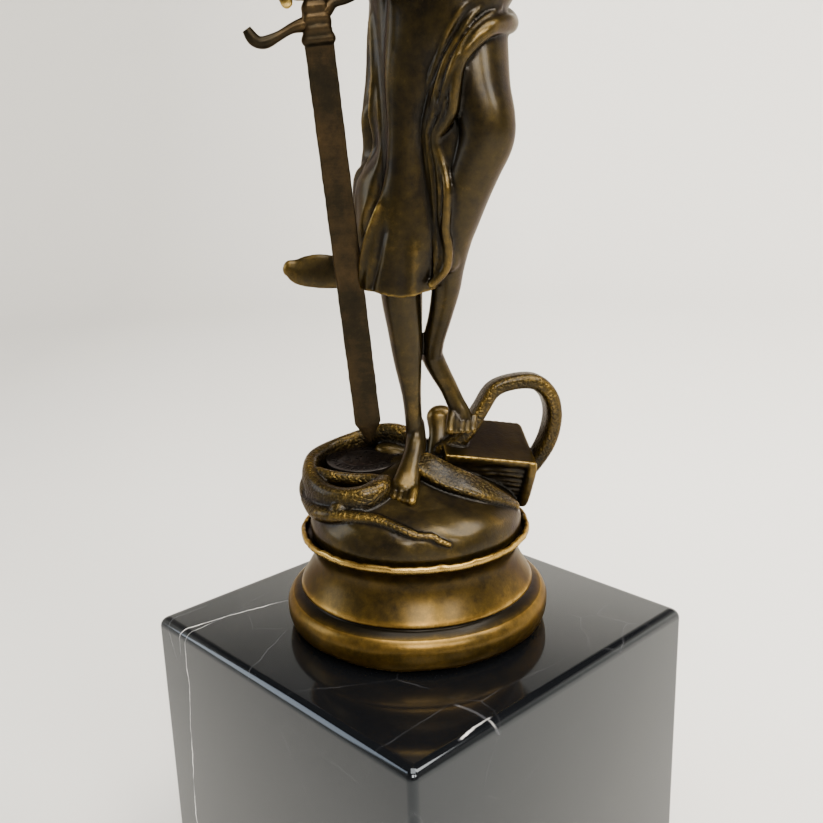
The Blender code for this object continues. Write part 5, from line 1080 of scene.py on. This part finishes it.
def grip_hand(centre, axis, back, thumb_side):
    """Fist closed round a rod: a palm behind it, four fingers round the front and a thumb."""
    centre, axis = np.asarray(centre, float), np.asarray(axis, float)
    axis = axis / np.linalg.norm(axis)
    back = np.asarray(back, float)
    back = back - axis * (back @ axis)
    back /= np.linalg.norm(back)
    side = np.cross(axis, back) * thumb_side
    pieces = []
    for i in range(4):
        level = (1.5 - i) * FINGER_PITCH
        keys = []
        for a in np.linspace(-40, 215, 8):
            turn = math.radians(a)
            spread = FINGER_REACH * (1.0 if 30 < a < 190 else 0.95)
            point = (centre + axis * level - back * spread * math.sin(turn)
                     + side * spread * math.cos(turn))
            fat = FINGER_RADIUS * (1.0 - 0.08 * abs(i - 1))
            keys.append((*point, fat, fat))
        pieces.append(tube(keys, up=tuple(axis), sides=12, count=24))
    palm = centre + back * 2.6 + side * 0.9
    pieces.append(tube([(*(palm - axis * 3.2), 2.0, 1.7), (*palm, 2.5, 2.0),
                        (*(palm + axis * 3.4), 2.1, 1.9)], up=tuple(back), sides=16, count=16))
    root = centre + back * 2.2 - side * 1.8 + axis * 1.0
    tip = centre - back * 2.6 - side * 1.4 + axis * 3.2
    pieces.append(tube([(*root, 1.3, 1.3), (*((root + tip) / 2 - side * 1.3), 1.15, 1.15),
                        (*tip, 0.95, 0.95)], up=tuple(axis), sides=12, count=16))
    return pieces


def arms():
    return [tube(SWORD_ARM, up=(0, -1, 0), count=70), tube(SCALES_ARM, up=(0.3, -1, 0), count=70),
            ball((-13.6, 1.2, 210.4), (5.0, 5.0, 5.4)), ball((19.2, 0.8, 212.0), (5.2, 5.2, 5.2)),
            tube([(-20.6, -6.6, 149.0, 2.2, 2.6), (-19.6, -8.6, 144.0, 2.7, 2.6),
                  (-19.6, -9.2, 139.5, 2.3, 2.3)], up=(0, -1, 0), count=20),
            tube([(-20.6, -9.6, 142.4, 1.9, 1.7), (-21.8, -11.0, 139.2, 1.8, 1.4),
                  (-21.6, -11.6, 136.6, 1.2, 1.0)], up=(0, -1, 0), count=24),
            *grip_hand(sword_grip_centre(), sword_axis(), (-0.75, 0.65, 0), -1),
            *grip_hand(SCALES_HAND, (0, 0, 1), (-0.25, 0.95, 0), 1),
            tube([(47.0, -12.4, 266.4, 2.0, 2.4), (47.2, -13.2, 270.6, 2.4, 2.4)],
                 up=(0, -1, 0), count=12)]


# Head

HEAD_PIVOT = (2.6, 1.6, 228.0)
HEAD_PLACE = (2.8, 1.0, 226.0)
HEAD_SIZE = 1.05
HEAD_TURN = (4, 0, -8)
SKULL = [
    (229.6, 2.6, 1.0, 6.4, 3.6, 2.4, 3.0, 3.4, 3.0, 2.4, 3.6),
    (231.4, 2.6, 1.0, 8.0, 5.6, 4.0, 4.4, 5.0, 4.4, 4.0, 5.6),
    (234.4, 2.6, 1.0, 8.7, 7.0, 6.0, 6.0, 7.0, 6.0, 6.0, 7.0),
    (238.4, 2.6, 1.2, 9.2, 8.2, 7.7, 8.2, 9.2, 8.2, 7.7, 8.2),
    (242.6, 2.6, 1.4, 9.5, 8.9, 8.6, 9.6, 10.8, 9.6, 8.6, 8.9),
    (246.6, 2.6, 1.4, 10.2, 9.4, 8.9, 10.2, 11.6, 10.2, 8.9, 9.4),
    (250.6, 2.6, 1.4, 9.7, 9.2, 8.7, 9.9, 11.2, 9.9, 8.7, 9.2),
    (254.2, 2.6, 1.4, 7.4, 7.4, 7.2, 8.0, 8.8, 8.0, 7.2, 7.4),
    (256.6, 2.6, 1.4, 3.4, 3.6, 3.8, 4.2, 4.6, 4.2, 3.8, 3.6),
]
BAND_LEVEL = 243.2
HAIR_LOCKS = 13
BUN_CENTRE = np.array((2.6, 12.8, 241.8))


def head():
    pieces = [gown(SKULL, SKULL[-1][0], SKULL[0][0], sides=100, count=70),
              tube([(2.6, -8.2, 244.2, 1.0, 1.2), (2.6, -9.6, 241.4, 1.1, 1.3),
                    (2.6, -10.7, 238.7, 1.25, 1.0)], up=(0, -1, 0), sides=14, count=16),
              ball((1.6, -9.3, 238.4), (0.9, 1.0, 0.75)), ball((3.6, -9.3, 238.4), (0.9, 1.0, 0.75)),
              ball((2.6, -7.9, 235.5), (2.1, 1.2, 0.6)), ball((2.6, -7.7, 234.3), (1.8, 1.2, 0.66)),
              ball((2.6, -6.3, 231.5), (2.2, 1.6, 1.6)),
              ball((-1.6, -5.6, 238.0), (2.6, 1.9, 3.0), (0, 0, -30)),
              ball((6.8, -5.6, 238.0), (2.6, 1.9, 3.0), (0, 0, 30))]
    angle = np.linspace(0, 2 * math.pi, 49)
    for lift, out in ((1.35, 0.45), (0.0, 0.6), (-1.35, 0.45)):
        band = surface(SKULL, np.full_like(angle, BAND_LEVEL), angle, out) + (0, 0, lift)
        pieces.append(tube([(*point, 0.75, 1.0) for point in band], sides=12, count=80))
    pieces += hair()
    return [placed(piece, HEAD_TURN, HEAD_PIVOT, HEAD_PLACE, HEAD_SIZE) for piece in pieces]


def hair():
    """Locks from a centre parting over the crown, down the sides and into a low bun."""
    pieces = [ball(BUN_CENTRE, (5.0, 4.2, 4.8))]
    for mirror in (-1, 1):
        for i in range(HAIR_LOCKS):
            start = math.radians(6 + 11.5 * i) * mirror
            keys = []
            for s in np.linspace(0, 1, 7):
                sweep = start + mirror * s * (math.radians(172) - abs(start)) * 0.96
                level = 255.4 - 1.2 * i * 0.35 - s * (10.5 - 0.18 * i) - (
                    3.4 * math.sin(math.pi * s) * max(0.0, 1 - i / 8))
                spot = surface_point(SKULL, level, sweep, 0.5 + 0.35 * math.sin(9 * s + i))
                if s == 1:
                    spot = BUN_CENTRE + np.array((mirror * 2.5, -1.0, 1.5 - 0.2 * i))
                keys.append((*spot, 1.15, 0.95))
            pieces.append(tube(keys, up=(0, 0.3, 1), sides=10, count=36))
    for turn in range(3):
        keys = []
        for a in np.linspace(0, 300, 10):
            spin = math.radians(a + 110 * turn)
            keys.append((BUN_CENTRE[0] + (4.3 - 1.1 * turn) * math.cos(spin),
                         BUN_CENTRE[1] + 0.8 + 1.2 * turn,
                         BUN_CENTRE[2] + (4.1 - 1.1 * turn) * math.sin(spin), 1.2, 1.0))
        pieces.append(tube(keys, up=(0, 1, 0), sides=10, count=40))
    return pieces


def neck():
    return [tube([(3.0, 2.2, 209, 6.2, 5.6), (2.9, 2.0, 215, 4.6, 4.6), (2.8, 1.6, 221, 4.1, 4.3),
                  (2.8, 1.6, 227, 4.2, 4.5), (2.8, 2.2, 234, 4.4, 4.8)], up=(0, -1, 0), count=30),
            ball((3.0, 5.0, 211), (9.5, 4.5, 5.0))]


# The cast group: the ground, and the figure that stands on it

GROUND_VOXEL, SKIRT_VOXEL, BUST_VOXEL = 0.30, 0.34, 0.36
BARE_LIMBS = 6


def ground_group():
    ground, serpent = mound(), snake()
    finish = cast_bronze("bronze_cast_brown_patina_ground", BROWN_STOPS, rubbed=0.38, pitted=0.5,
                         gloss=0.40, scales=True)
    figure_piece("ground_with_book_and_snake", ground + serpent + book(), GROUND_VOXEL, "snake",
                 range(len(ground), len(ground + serpent)), finish)


def lower_figure():
    finish = cast_bronze("bronze_cast_brown_patina", BROWN_STOPS, rubbed=0.24, pitted=0.30, gloss=0.37)
    figure_piece("figure_legs_and_skirt", legs() + skirt(), SKIRT_VOXEL, "flesh", range(BARE_LIMBS), finish)


def upper_figure(finish):
    body = torso()
    limbs = arms() + neck()
    figure_piece("figure_bust_arms_and_head", body + limbs + head(), BUST_VOXEL, "flesh",
                 range(len(body), len(body + limbs)), finish)


# Sword

def sword_frame():
    """Columns: across the blade, through the blade, along the grip, from the blade's top."""
    along = sword_axis()
    across = Vector((math.cos(SWORD_TURN), math.sin(SWORD_TURN), 0))
    across = (across - along * across.dot(along)).normalized()
    through = along.cross(across)
    turn = Matrix((across, through, along)).transposed().to_4x4()
    return Matrix.Translation(to_world(SWORD_TOP)) @ turn


def turned(rows, sides, centre=(0, 0, 0)):
    """Rings of a turned outline, given as rows of radius and height."""
    return [[Vector((centre[0] + r * math.cos(a), centre[1] + r * math.sin(a), centre[2] + z))
             for a in np.linspace(0, 2 * math.pi, sides, endpoint=False)] for r, z in rows]


def skinned(name, ring_sets, place=None, angle=35):
    """One mesh of closed skins through sets of rings, placed, and smoothed by angle."""
    bm = bmesh.new()
    for rings in ring_sets:
        made = [[bm.verts.new(p) for p in ring] for ring in rings]
        count = len(made[0])
        for lower, upper in zip(made, made[1:]):
            for i in range(count):
                n = (i + 1) % count
                bm.faces.new((lower[i], lower[n], upper[n], upper[i]))
        bm.faces.new(made[0][::-1])
        bm.faces.new(made[-1])
    bmesh.ops.recalc_face_normals(bm, faces=bm.faces)
    if place:
        bmesh.ops.transform(bm, matrix=place, verts=bm.verts)
    mesh = bpy.data.meshes.new(name)
    bm.to_mesh(mesh)
    bm.free()
    mesh.shade_smooth()
    mesh.set_sharp_from_angle(angle=math.radians(angle))
    return mesh


def join_into(mesh, others):
    bm = bmesh.new()
    for part in (mesh, *others):
        bm.from_mesh(part)
    bm.to_mesh(mesh)
    bm.free()


def bar_rings(keys, sides, up=(0, 1, 0)):
    """Rings of a bar along key rows of x, y, z and radius in metres."""
    keys = np.asarray(keys, float)
    path = keys[:, :3]
    along = np.gradient(path, axis=0)
    along /= np.linalg.norm(along, axis=1)[:, None]
    rings = []
    for point, way, radius in zip(path, along, keys[:, 3]):
        side = np.cross(way, np.asarray(up, float))
        side /= np.linalg.norm(side)
        deep = np.cross(side, way)
        rings.append([point + (side * math.cos(a) + deep * math.sin(a)) * radius
                      for a in np.linspace(0, 2 * math.pi, sides, endpoint=False)])
    return rings


SWORD_SHOULDER = 2.6
GUARD_LINE = [
    (-13.8, 4.0), (-12.6, 1.9), (-10.8, 1.2), (-8.0, 2.0), (-5.0, 3.2), (-2.0, 3.8),
    (1.2, 5.2), (3.6, 7.0), (6.2, 7.4), (8.4, 8.4), (10.2, 10.2),
]
GUARD_FAT = (0.7, 0.95, 0.95, 0.75, 0.8, 1.1, 1.2, 0.9, 0.75, 0.8, 0.9)
GUARD_BLOCK = [(-0.6, 3.0, 0.9), (0.4, 3.3, 1.5), (3.0, 2.9, 1.7), (6.0, 2.7, 1.7), (8.2, 1.9, 1.5)]


def blade_rings():
    """Flat blade with a bevel along each edge, down to its point."""
    half, thick = SWORD_BLADE_WIDTH / 2, SWORD_BLADE_THICKNESS / 2
    rings = []
    straight = SWORD_BLADE_LENGTH - SWORD_POINT_LENGTH
    for height in [SWORD_SHOULDER * UNIT] + list(-np.linspace(0, straight, 60)):
        nick = 0.00004 * math.sin(height * 2100) + 0.00003 * math.sin(height * 5200 + 1)
        rings.append((height, half + nick, thick))
    for share in (0.8, 0.52, 0.3, 0.10):
        rings.append((-SWORD_BLADE_LENGTH + SWORD_POINT_LENGTH * (share - 0.10) * 1.1, half * share,
                      thick * (0.4 + 0.6 * share)))
    made = []
    for height, w, t in rings:
        lip = min(0.00022, w * 0.3)
        made.append([Vector((x, y, height)) for x, y in (
            (w, -t * 0.45), (w, t * 0.45), (w - lip, t * 0.62), (0, t), (-w + lip, t * 0.62),
            (-w, t * 0.45), (-w, -t * 0.45), (-w + lip, -t * 0.62), (0, -t), (w - lip, -t * 0.62))])
    return made


def guard_rings():
    rows = path_through([(x, 0, z, f) for (x, z), f in zip(GUARD_LINE, GUARD_FAT)], 90)
    rows[:, :3] *= UNIT
    rows[:, 3] *= SWORD_GUARD_RADIUS * (1 + 0.05 * np.sin(np.linspace(0, 31, 90)))
    return bar_rings(rows, 20)


def block_rings():
    """Hand-modelled block where the guard, the grip and the blade meet."""
    wide, tall = section(28, 0.55)
    return [np.stack([wide * w * (1 + 0.05 * math.sin(2 * z)), tall * t * (1 + 0.08 * math.sin(3 * z)),
                      np.full_like(wide, z)], 1) * UNIT for z, w, t in path_through(GUARD_BLOCK, 30)]


def grip_rings():
    base = SWORD_SHOULDER * UNIT
    rows = [(0, 0, base + SWORD_GRIP_LENGTH * s,
             SWORD_GRIP_RADIUS * (0.97 + 0.13 * math.sin(math.pi * s) - 0.10 * abs(math.sin(s * 40))))
            for s in np.linspace(0, 1, 80)]
    middle = base + SWORD_GRIP_LENGTH + SWORD_POMMEL_RADIUS * 0.7
    rows += [(0, 0, middle + SWORD_POMMEL_RADIUS * math.sin(math.radians(a)),
              SWORD_POMMEL_RADIUS * math.cos(math.radians(a))) for a in np.linspace(-50, 80, 16)]
    return bar_rings(rows, 24)


def sword():
    name = "sword_blade_guard_and_grip"
    mesh = skinned(name, [blade_rings(), block_rings(), guard_rings(), grip_rings()], sword_frame(),
                   angle=24)
    finish = cast_bronze("bronze_filed_brown_patina", BLADE_STOPS, rubbed=0.10, pitted=0.3, gloss=0.44,
                         coat=0.0, streaks=0.10)
    wear_and_shade_marks(mesh)
    stand_for("sword", name, mesh, finish)


# Geometry Nodes for what repeats

SOCKETS = {int: "NodeSocketInt", float: "NodeSocketFloat", tuple: "NodeSocketVector"}


def repeat_tree(name, inputs):
    """Tree with named inputs, given by their first values, and the sockets that bring them in."""
    tree = bpy.data.node_groups.new(name, "GeometryNodeTree")
    for way in ("INPUT", "OUTPUT"):
        tree.interface.new_socket("Geometry", in_out=way, socket_type="NodeSocketGeometry")
    for title, value in inputs.items():
        tree.interface.new_socket(title, in_out="INPUT",
                                  socket_type=SOCKETS[type(value)]).default_value = value
    return tree, tree.nodes.new("NodeGroupInput").outputs


def finish_tree(tree, geometry, finish):
    real = add(tree, "GeometryNodeRealizeInstances", {"Geometry": geometry})
    done = add(tree, "GeometryNodeSetMaterial", {"Geometry": real, "Material": finish})
    wire(tree, tree.nodes.new("NodeGroupOutput"), {"Geometry": done})
    return tree


def run_tree(name, tree, values):
    """Mesh that a tree makes, with its named inputs set by their identifiers."""
    holder = new_object(name + "_holder", bpy.data.meshes.new(name + "_holder"))
    step = holder.modifiers.new("repeat", "NODES")
    step.node_group = tree
    for item in tree.interface.items_tree:
        if item.in_out == "INPUT" and item.name in values:
            step[item.identifier] = values[item.name]
    return baked(holder, name)


def stroke_ring_tree(finish):
    """Short raised strokes that stand side by side round a circle."""
    tree, given = repeat_tree("ring_of_strokes", {"Strokes": 12, "Radius": 0.005, "Length": 0.001,
                                                  "Width": 0.0003, "Height": 0.0002})
    circle = add(tree, "GeometryNodeMeshCircle", {"Vertices": given["Strokes"],
                                                  "Radius": given["Radius"]})
    size = add(tree, "ShaderNodeCombineXYZ", (given["Length"], given["Width"], given["Height"]))
    stroke = add(tree, "GeometryNodeMeshCube", {"Size": size})
    place = add(tree, "GeometryNodeInputPosition", {})
    turn = add(tree, "FunctionNodeAlignRotationToVector", {"Vector": place}, axis="X")
    lean, stretch = (
        add(tree, "FunctionNodeRandomValue", {2: least, 3: most, "Seed": seed}, 1, data_type="FLOAT")
        for least, most, seed in ((-0.35, 0.35, 4), (0.55, 1.15, 9)))
    twist = add(tree, "FunctionNodeAxisAngleToRotation", {"Axis": (0, 0, 1), "Angle": lean})
    turn = add(tree, "FunctionNodeRotateRotation", {"Rotation": turn, "Rotate By": twist})
    spread = add(tree, "GeometryNodeInstanceOnPoints", {"Points": circle, "Instance": stroke,
                                                        "Rotation": turn, "Scale": stretch})
    return finish_tree(tree, spread, finish)


STROKE_HEIGHT = 0.00028


def seal(finish):
    """Round seal with a raised rim, and rings of short strokes that are no letters."""
    top = SEAL_THICKNESS / 2
    face = top - SEAL_RELIEF
    inner = SEAL_RADIUS - SEAL_RIM_WIDTH
    rows = [(0.0005, -top), (SEAL_RADIUS - 0.0001, -top), (SEAL_RADIUS, -top + 0.0001),
            (SEAL_RADIUS, top - 0.0001), (SEAL_RADIUS - 0.0001, top), (inner + 0.0001, top),
            (inner, face), (inner * 0.66, face), (inner * 0.64, face + 0.00008),
            (inner * 0.61, face + 0.00008), (inner * 0.59, face), (0.0005, face)]
    mesh = skinned("seal_disc", [turned(rows, 96)], angle=40)
    tree = stroke_ring_tree(finish)
    marks = [run_tree("seal_strokes", tree, {"Strokes": strokes, "Radius": inner * share,
                                             "Length": length, "Width": width,
                                             "Height": STROKE_HEIGHT})
             for strokes, share, length, width in ((30, 0.82, 0.0013, 0.00026),
                                                   (13, 0.44, 0.0010, 0.00030),
                                                   (6, 0.18, 0.0008, 0.00034))]
    for ring in marks:
        ring.transform(Matrix.Translation((0, 0, face)))
    join_into(mesh, marks)
    mesh.transform(Matrix.Translation(to_world(SEAL_CENTRE)) @ Matrix.Rotation(SEAL_TILT, 4, "X"))
    stand_for("seal", "seal_disc", mesh, finish)


# Scales

def beam_frame():
    base = to_world((SCALES_HAND.x, SCALES_HAND.y, BEAM_LEVEL))
    return Matrix.Translation(base) @ Matrix.Rotation(BEAM_TURN, 4, "Z")


def beam(finish):
    """Beam with turned-up tips, a boss in the middle and the rod with its finial."""
    keys = []
    for s in np.linspace(-1, 1, 81):
        bead = 0.22 * math.exp(-((abs(s) - 0.93) / 0.03) ** 2) + 0.5 * math.exp(-(s / 0.05) ** 2)
        keys.append((BEAM_HALF_LENGTH * s, 0,
                     0.0016 * abs(s) ** 3 - 0.0012 * math.cos(s * math.pi) * 0.4,
                     BEAM_RADIUS * (1.15 - 0.5 * abs(s) + bead)))
    reach = (SCALES_HAND.z + 6.2 - BEAM_LEVEL) * UNIT
    rod = [(0, 0, z, BEAM_ROD_RADIUS) for z in np.linspace(0, reach, 8)]
    for s in np.linspace(0, 1, 14)[1:]:
        rod.append((0, 0, reach + 0.0030 * s,
                    BEAM_ROD_RADIUS * (1 + 0.7 * math.sin(math.pi * min(1, s * 1.15)) - 0.25 * s)))
    name = "scales_beam_and_rod"
    mesh = skinned(name, [bar_rings(keys, 18), bar_rings(rod, 18)], beam_frame())
    wear_and_shade_marks(mesh)
    stand_for("scales_beam", name, mesh, finish)


def chain_tree(finish):
    """Oval links along a line, each turned a quarter against the one before."""
    tree, given = repeat_tree("chain", {"Links": 10, "Link Radius": 0.0006, "Wire Radius": 0.0002,
                                        "Start": (0.0, 0.0, 0.0), "End": (0.0, 0.0, 1.0)})
    line = add(tree, "GeometryNodeMeshLine", {"Count": given["Links"], "Start Location": given["Start"],
                                              "Offset": given["End"]}, mode="END_POINTS")
    path, wire_path = (
        add(tree, "GeometryNodeCurvePrimitiveCircle", {"Resolution": sides, "Radius": given[radius]})
        for sides, radius in ((12, "Link Radius"), (6, "Wire Radius")))
    link = add(tree, "GeometryNodeCurveToMesh", {"Curve": path, "Profile Curve": wire_path})
    link = add(tree, "GeometryNodeTransform", {"Geometry": link, "Scale": (1.5, 0.85, 1.0)})
    way = add(tree, "ShaderNodeVectorMath", (given["End"], given["Start"]), operation="SUBTRACT")
    lie = add(tree, "FunctionNodeAlignRotationToVector", {"Vector": way}, axis="X")
    index = add(tree, "GeometryNodeInputIndex", {})
    quarter = add(tree, "ShaderNodeMath", (index, math.pi / 2), operation="MULTIPLY")
    spin = add(tree, "FunctionNodeAxisAngleToRotation", {"Axis": (1, 0, 0), "Angle": quarter})
    turn = add(tree, "FunctionNodeRotateRotation", {"Rotation": lie, "Rotate By": spin},
               rotation_space="LOCAL")
    spread = add(tree, "GeometryNodeInstanceOnPoints", {"Points": line, "Instance": link,
                                                        "Rotation": turn})
    return finish_tree(tree, spread, finish)


LINK_PITCH = 0.00125


PAN_BEAD = 0.00045
PAN_HOLLOW = PAN_DEPTH * 0.86
PAN_MIDDLE = 0.0004
RING_RADIUS, RING_WIRE = 0.0009, 0.00028


def pan(name, end, node, finish, chain):
    """Shallow pan with a beaded rim, hung by three chains from a ring under the beam's tip."""
    hang = beam_frame() @ Vector((end * (BEAM_HALF_LENGTH - 0.0010), 0, 0))
    hang.z -= BEAM_RADIUS * 1.4 + 0.0003
    rim = hang.z - PAN_DROP
    rows = [(PAN_MIDDLE, -PAN_DEPTH - PAN_WALL * 0.5)]
    rows += [(PAN_RADIUS * math.cos(a), -PAN_DEPTH * math.sin(a) - PAN_WALL * 0.5)
             for a in np.radians(np.linspace(84, 0, 14))]
    rows += [(PAN_RADIUS - PAN_BEAD + PAN_BEAD * math.cos(a), PAN_BEAD * math.sin(a))
             for a in np.radians(np.linspace(-60, 180, 9))]
    rows += [((PAN_RADIUS - PAN_WALL) * math.cos(a), -PAN_HOLLOW * math.sin(a))
             for a in np.radians(np.linspace(6, 84, 14))]
    rows.append((PAN_MIDDLE, -PAN_HOLLOW))
    ring = [(hang.x + RING_RADIUS * math.sin(a), hang.y,
             hang.z - 0.0011 + RING_RADIUS * math.cos(a), RING_WIRE)
            for a in np.linspace(0, 2 * math.pi, 25)]
    mesh = skinned(name, [turned(rows, 48, (hang.x, hang.y, rim)), bar_rings(ring, 8, up=(0.1, 1, 0.1))],
                   angle=50)
    knot = Vector((hang.x, hang.y, hang.z - 0.0012))
    chains = []
    for i in range(PAN_CORDS):
        a = 2 * math.pi * (i + 0.25) / PAN_CORDS
        low = Vector((hang.x + (PAN_RADIUS - 0.0006) * math.cos(a),
                      hang.y + (PAN_RADIUS - 0.0006) * math.sin(a), rim + 0.0002))
        high = knot + (low - knot).normalized() * RING_RADIUS
        chains.append(run_tree(name + "_chain", chain, {
            "Links": round((high - low).length / LINK_PITCH) + 1, "Link Radius": 0.00052,
            "Wire Radius": 0.00018, "Start": tuple(low), "End": tuple(high)}))
    join_into(mesh, chains)
    mesh.shade_smooth()
    wear_and_shade_marks(mesh)
    stand_for(node, name, mesh, finish)


# Floor, backdrop, light and camera

SWEEP_RADIUS, SWEEP_BEND, SWEEP_TOP = 0.9, 0.35, 1.1
SWEEP_SIDES = 96
FLOOR_GAP = 0.00005


def studio():
    """Pale paper sweep all round: a floor that curves up into a low wall."""
    profile = [(0.001, 0.0), (SWEEP_RADIUS, 0.0)]
    profile += [(SWEEP_RADIUS + SWEEP_BEND * math.sin(a), SWEEP_BEND * (1 - math.cos(a)))
                for a in np.radians(range(10, 91, 10))]
    profile.append((SWEEP_RADIUS + SWEEP_BEND, SWEEP_TOP))
    points, faces = shell(turned(profile, SWEEP_SIDES, (0, 0, -FLOOR_GAP)))
    mesh = new_mesh("paper_sweep", points, [face[::-1] for face in faces[:-1]])
    mesh.shade_smooth()
    new_object("paper_sweep", mesh, paper())


def lamp(name, place, target, size, power, code, height=None):
    """Soft box: a rectangular area light aimed at a point."""
    light = bpy.data.lights.new(name, "AREA")
    light.shape = "RECTANGLE"
    light.size, light.size_y = size, height or size
    light.energy = power
    light.color = linear(code)[:3]
    made = new_object(name, light)
    made.location = place
    made.rotation_euler = (Vector(target) - Vector(place)).to_track_quat("-Z", "Y").to_euler()


def lights():
    world = bpy.data.worlds.new("dim_room")
    world.use_nodes = True
    wire(world.node_tree, world.node_tree.nodes["Background"],
         {"Color": linear("#e6e5e1"), "Strength": 0.06})
    bpy.context.scene.world = world
    middle = (0, 0, 0.15)
    lamp("ceiling_softbox", (0.1, -0.15, 1.25), (0.08, 0.45, 0), 0.9, 30.0, "#fffaf2")
    lamp("front_softbox", (0.07, -0.86, 0.78), middle, 0.42, 16.0, "#fff8ee")
    lamp("front_right_softbox", (0.50, -0.66, 0.66), middle, 0.26, 6.5, "#fdf6ea")
    lamp("window_left", (-1.0, 0.02, 0.5), middle, 0.42, 5.0, "#e2ebf6", 0.6)
    lamp("backdrop_light", (0.7, 0.0, 1.1), (0.75, 1.1, 0.2), 0.6, 23.0, "#fff8ee")


CAMERA_PLACE = (0.0067223, -0.2222555, 0.1943495)
CAMERA_YAW, CAMERA_PITCH, CAMERA_ROLL = -0.0306024, 0.279392, -0.0300929
CAMERA_LENS = 44.335


def camera():
    yaw, pitch, roll = CAMERA_YAW, CAMERA_PITCH, CAMERA_ROLL
    ahead = Vector((math.sin(yaw) * math.cos(pitch), math.cos(yaw) * math.cos(pitch), -math.sin(pitch)))
    right = Vector((math.cos(yaw), -math.sin(yaw), 0))
    up = right.cross(ahead)
    right, up = (right * math.cos(roll) + up * math.sin(roll),
                 up * math.cos(roll) - right * math.sin(roll))
    data = bpy.data.cameras.new("photo_view")
    data.sensor_fit = "HORIZONTAL"
    data.sensor_width = 36.0
    data.lens = CAMERA_LENS
    data.clip_start = 0.01
    made = new_object("photo_view", data)
    made.matrix_world = Matrix.Translation(CAMERA_PLACE) @ Matrix((right, up, -ahead)).transposed().to_4x4()
    bpy.context.scene.camera = made


fine_bronze = cast_bronze("bronze_cast_brown_patina_fine", BROWN_STOPS, rubbed=0.45, pitted=0.2,
                          gloss=0.38)
seal_bronze = cast_bronze("bronze_struck_dark_patina", DARK_STOPS, rubbed=0.2, pitted=0.2, gloss=0.42)

plinth()
foot()
ground_group()
lower_figure()
upper_figure(fine_bronze)
sword()
seal(seal_bronze)
beam(fine_bronze)
chain = chain_tree(fine_bronze)
pan("pan_with_chains_inner", -1, "scale_pan_inner", fine_bronze, chain)
pan("pan_with_chains_outer", 1, "scale_pan_outer", fine_bronze, chain)
studio()
lights()
camera()
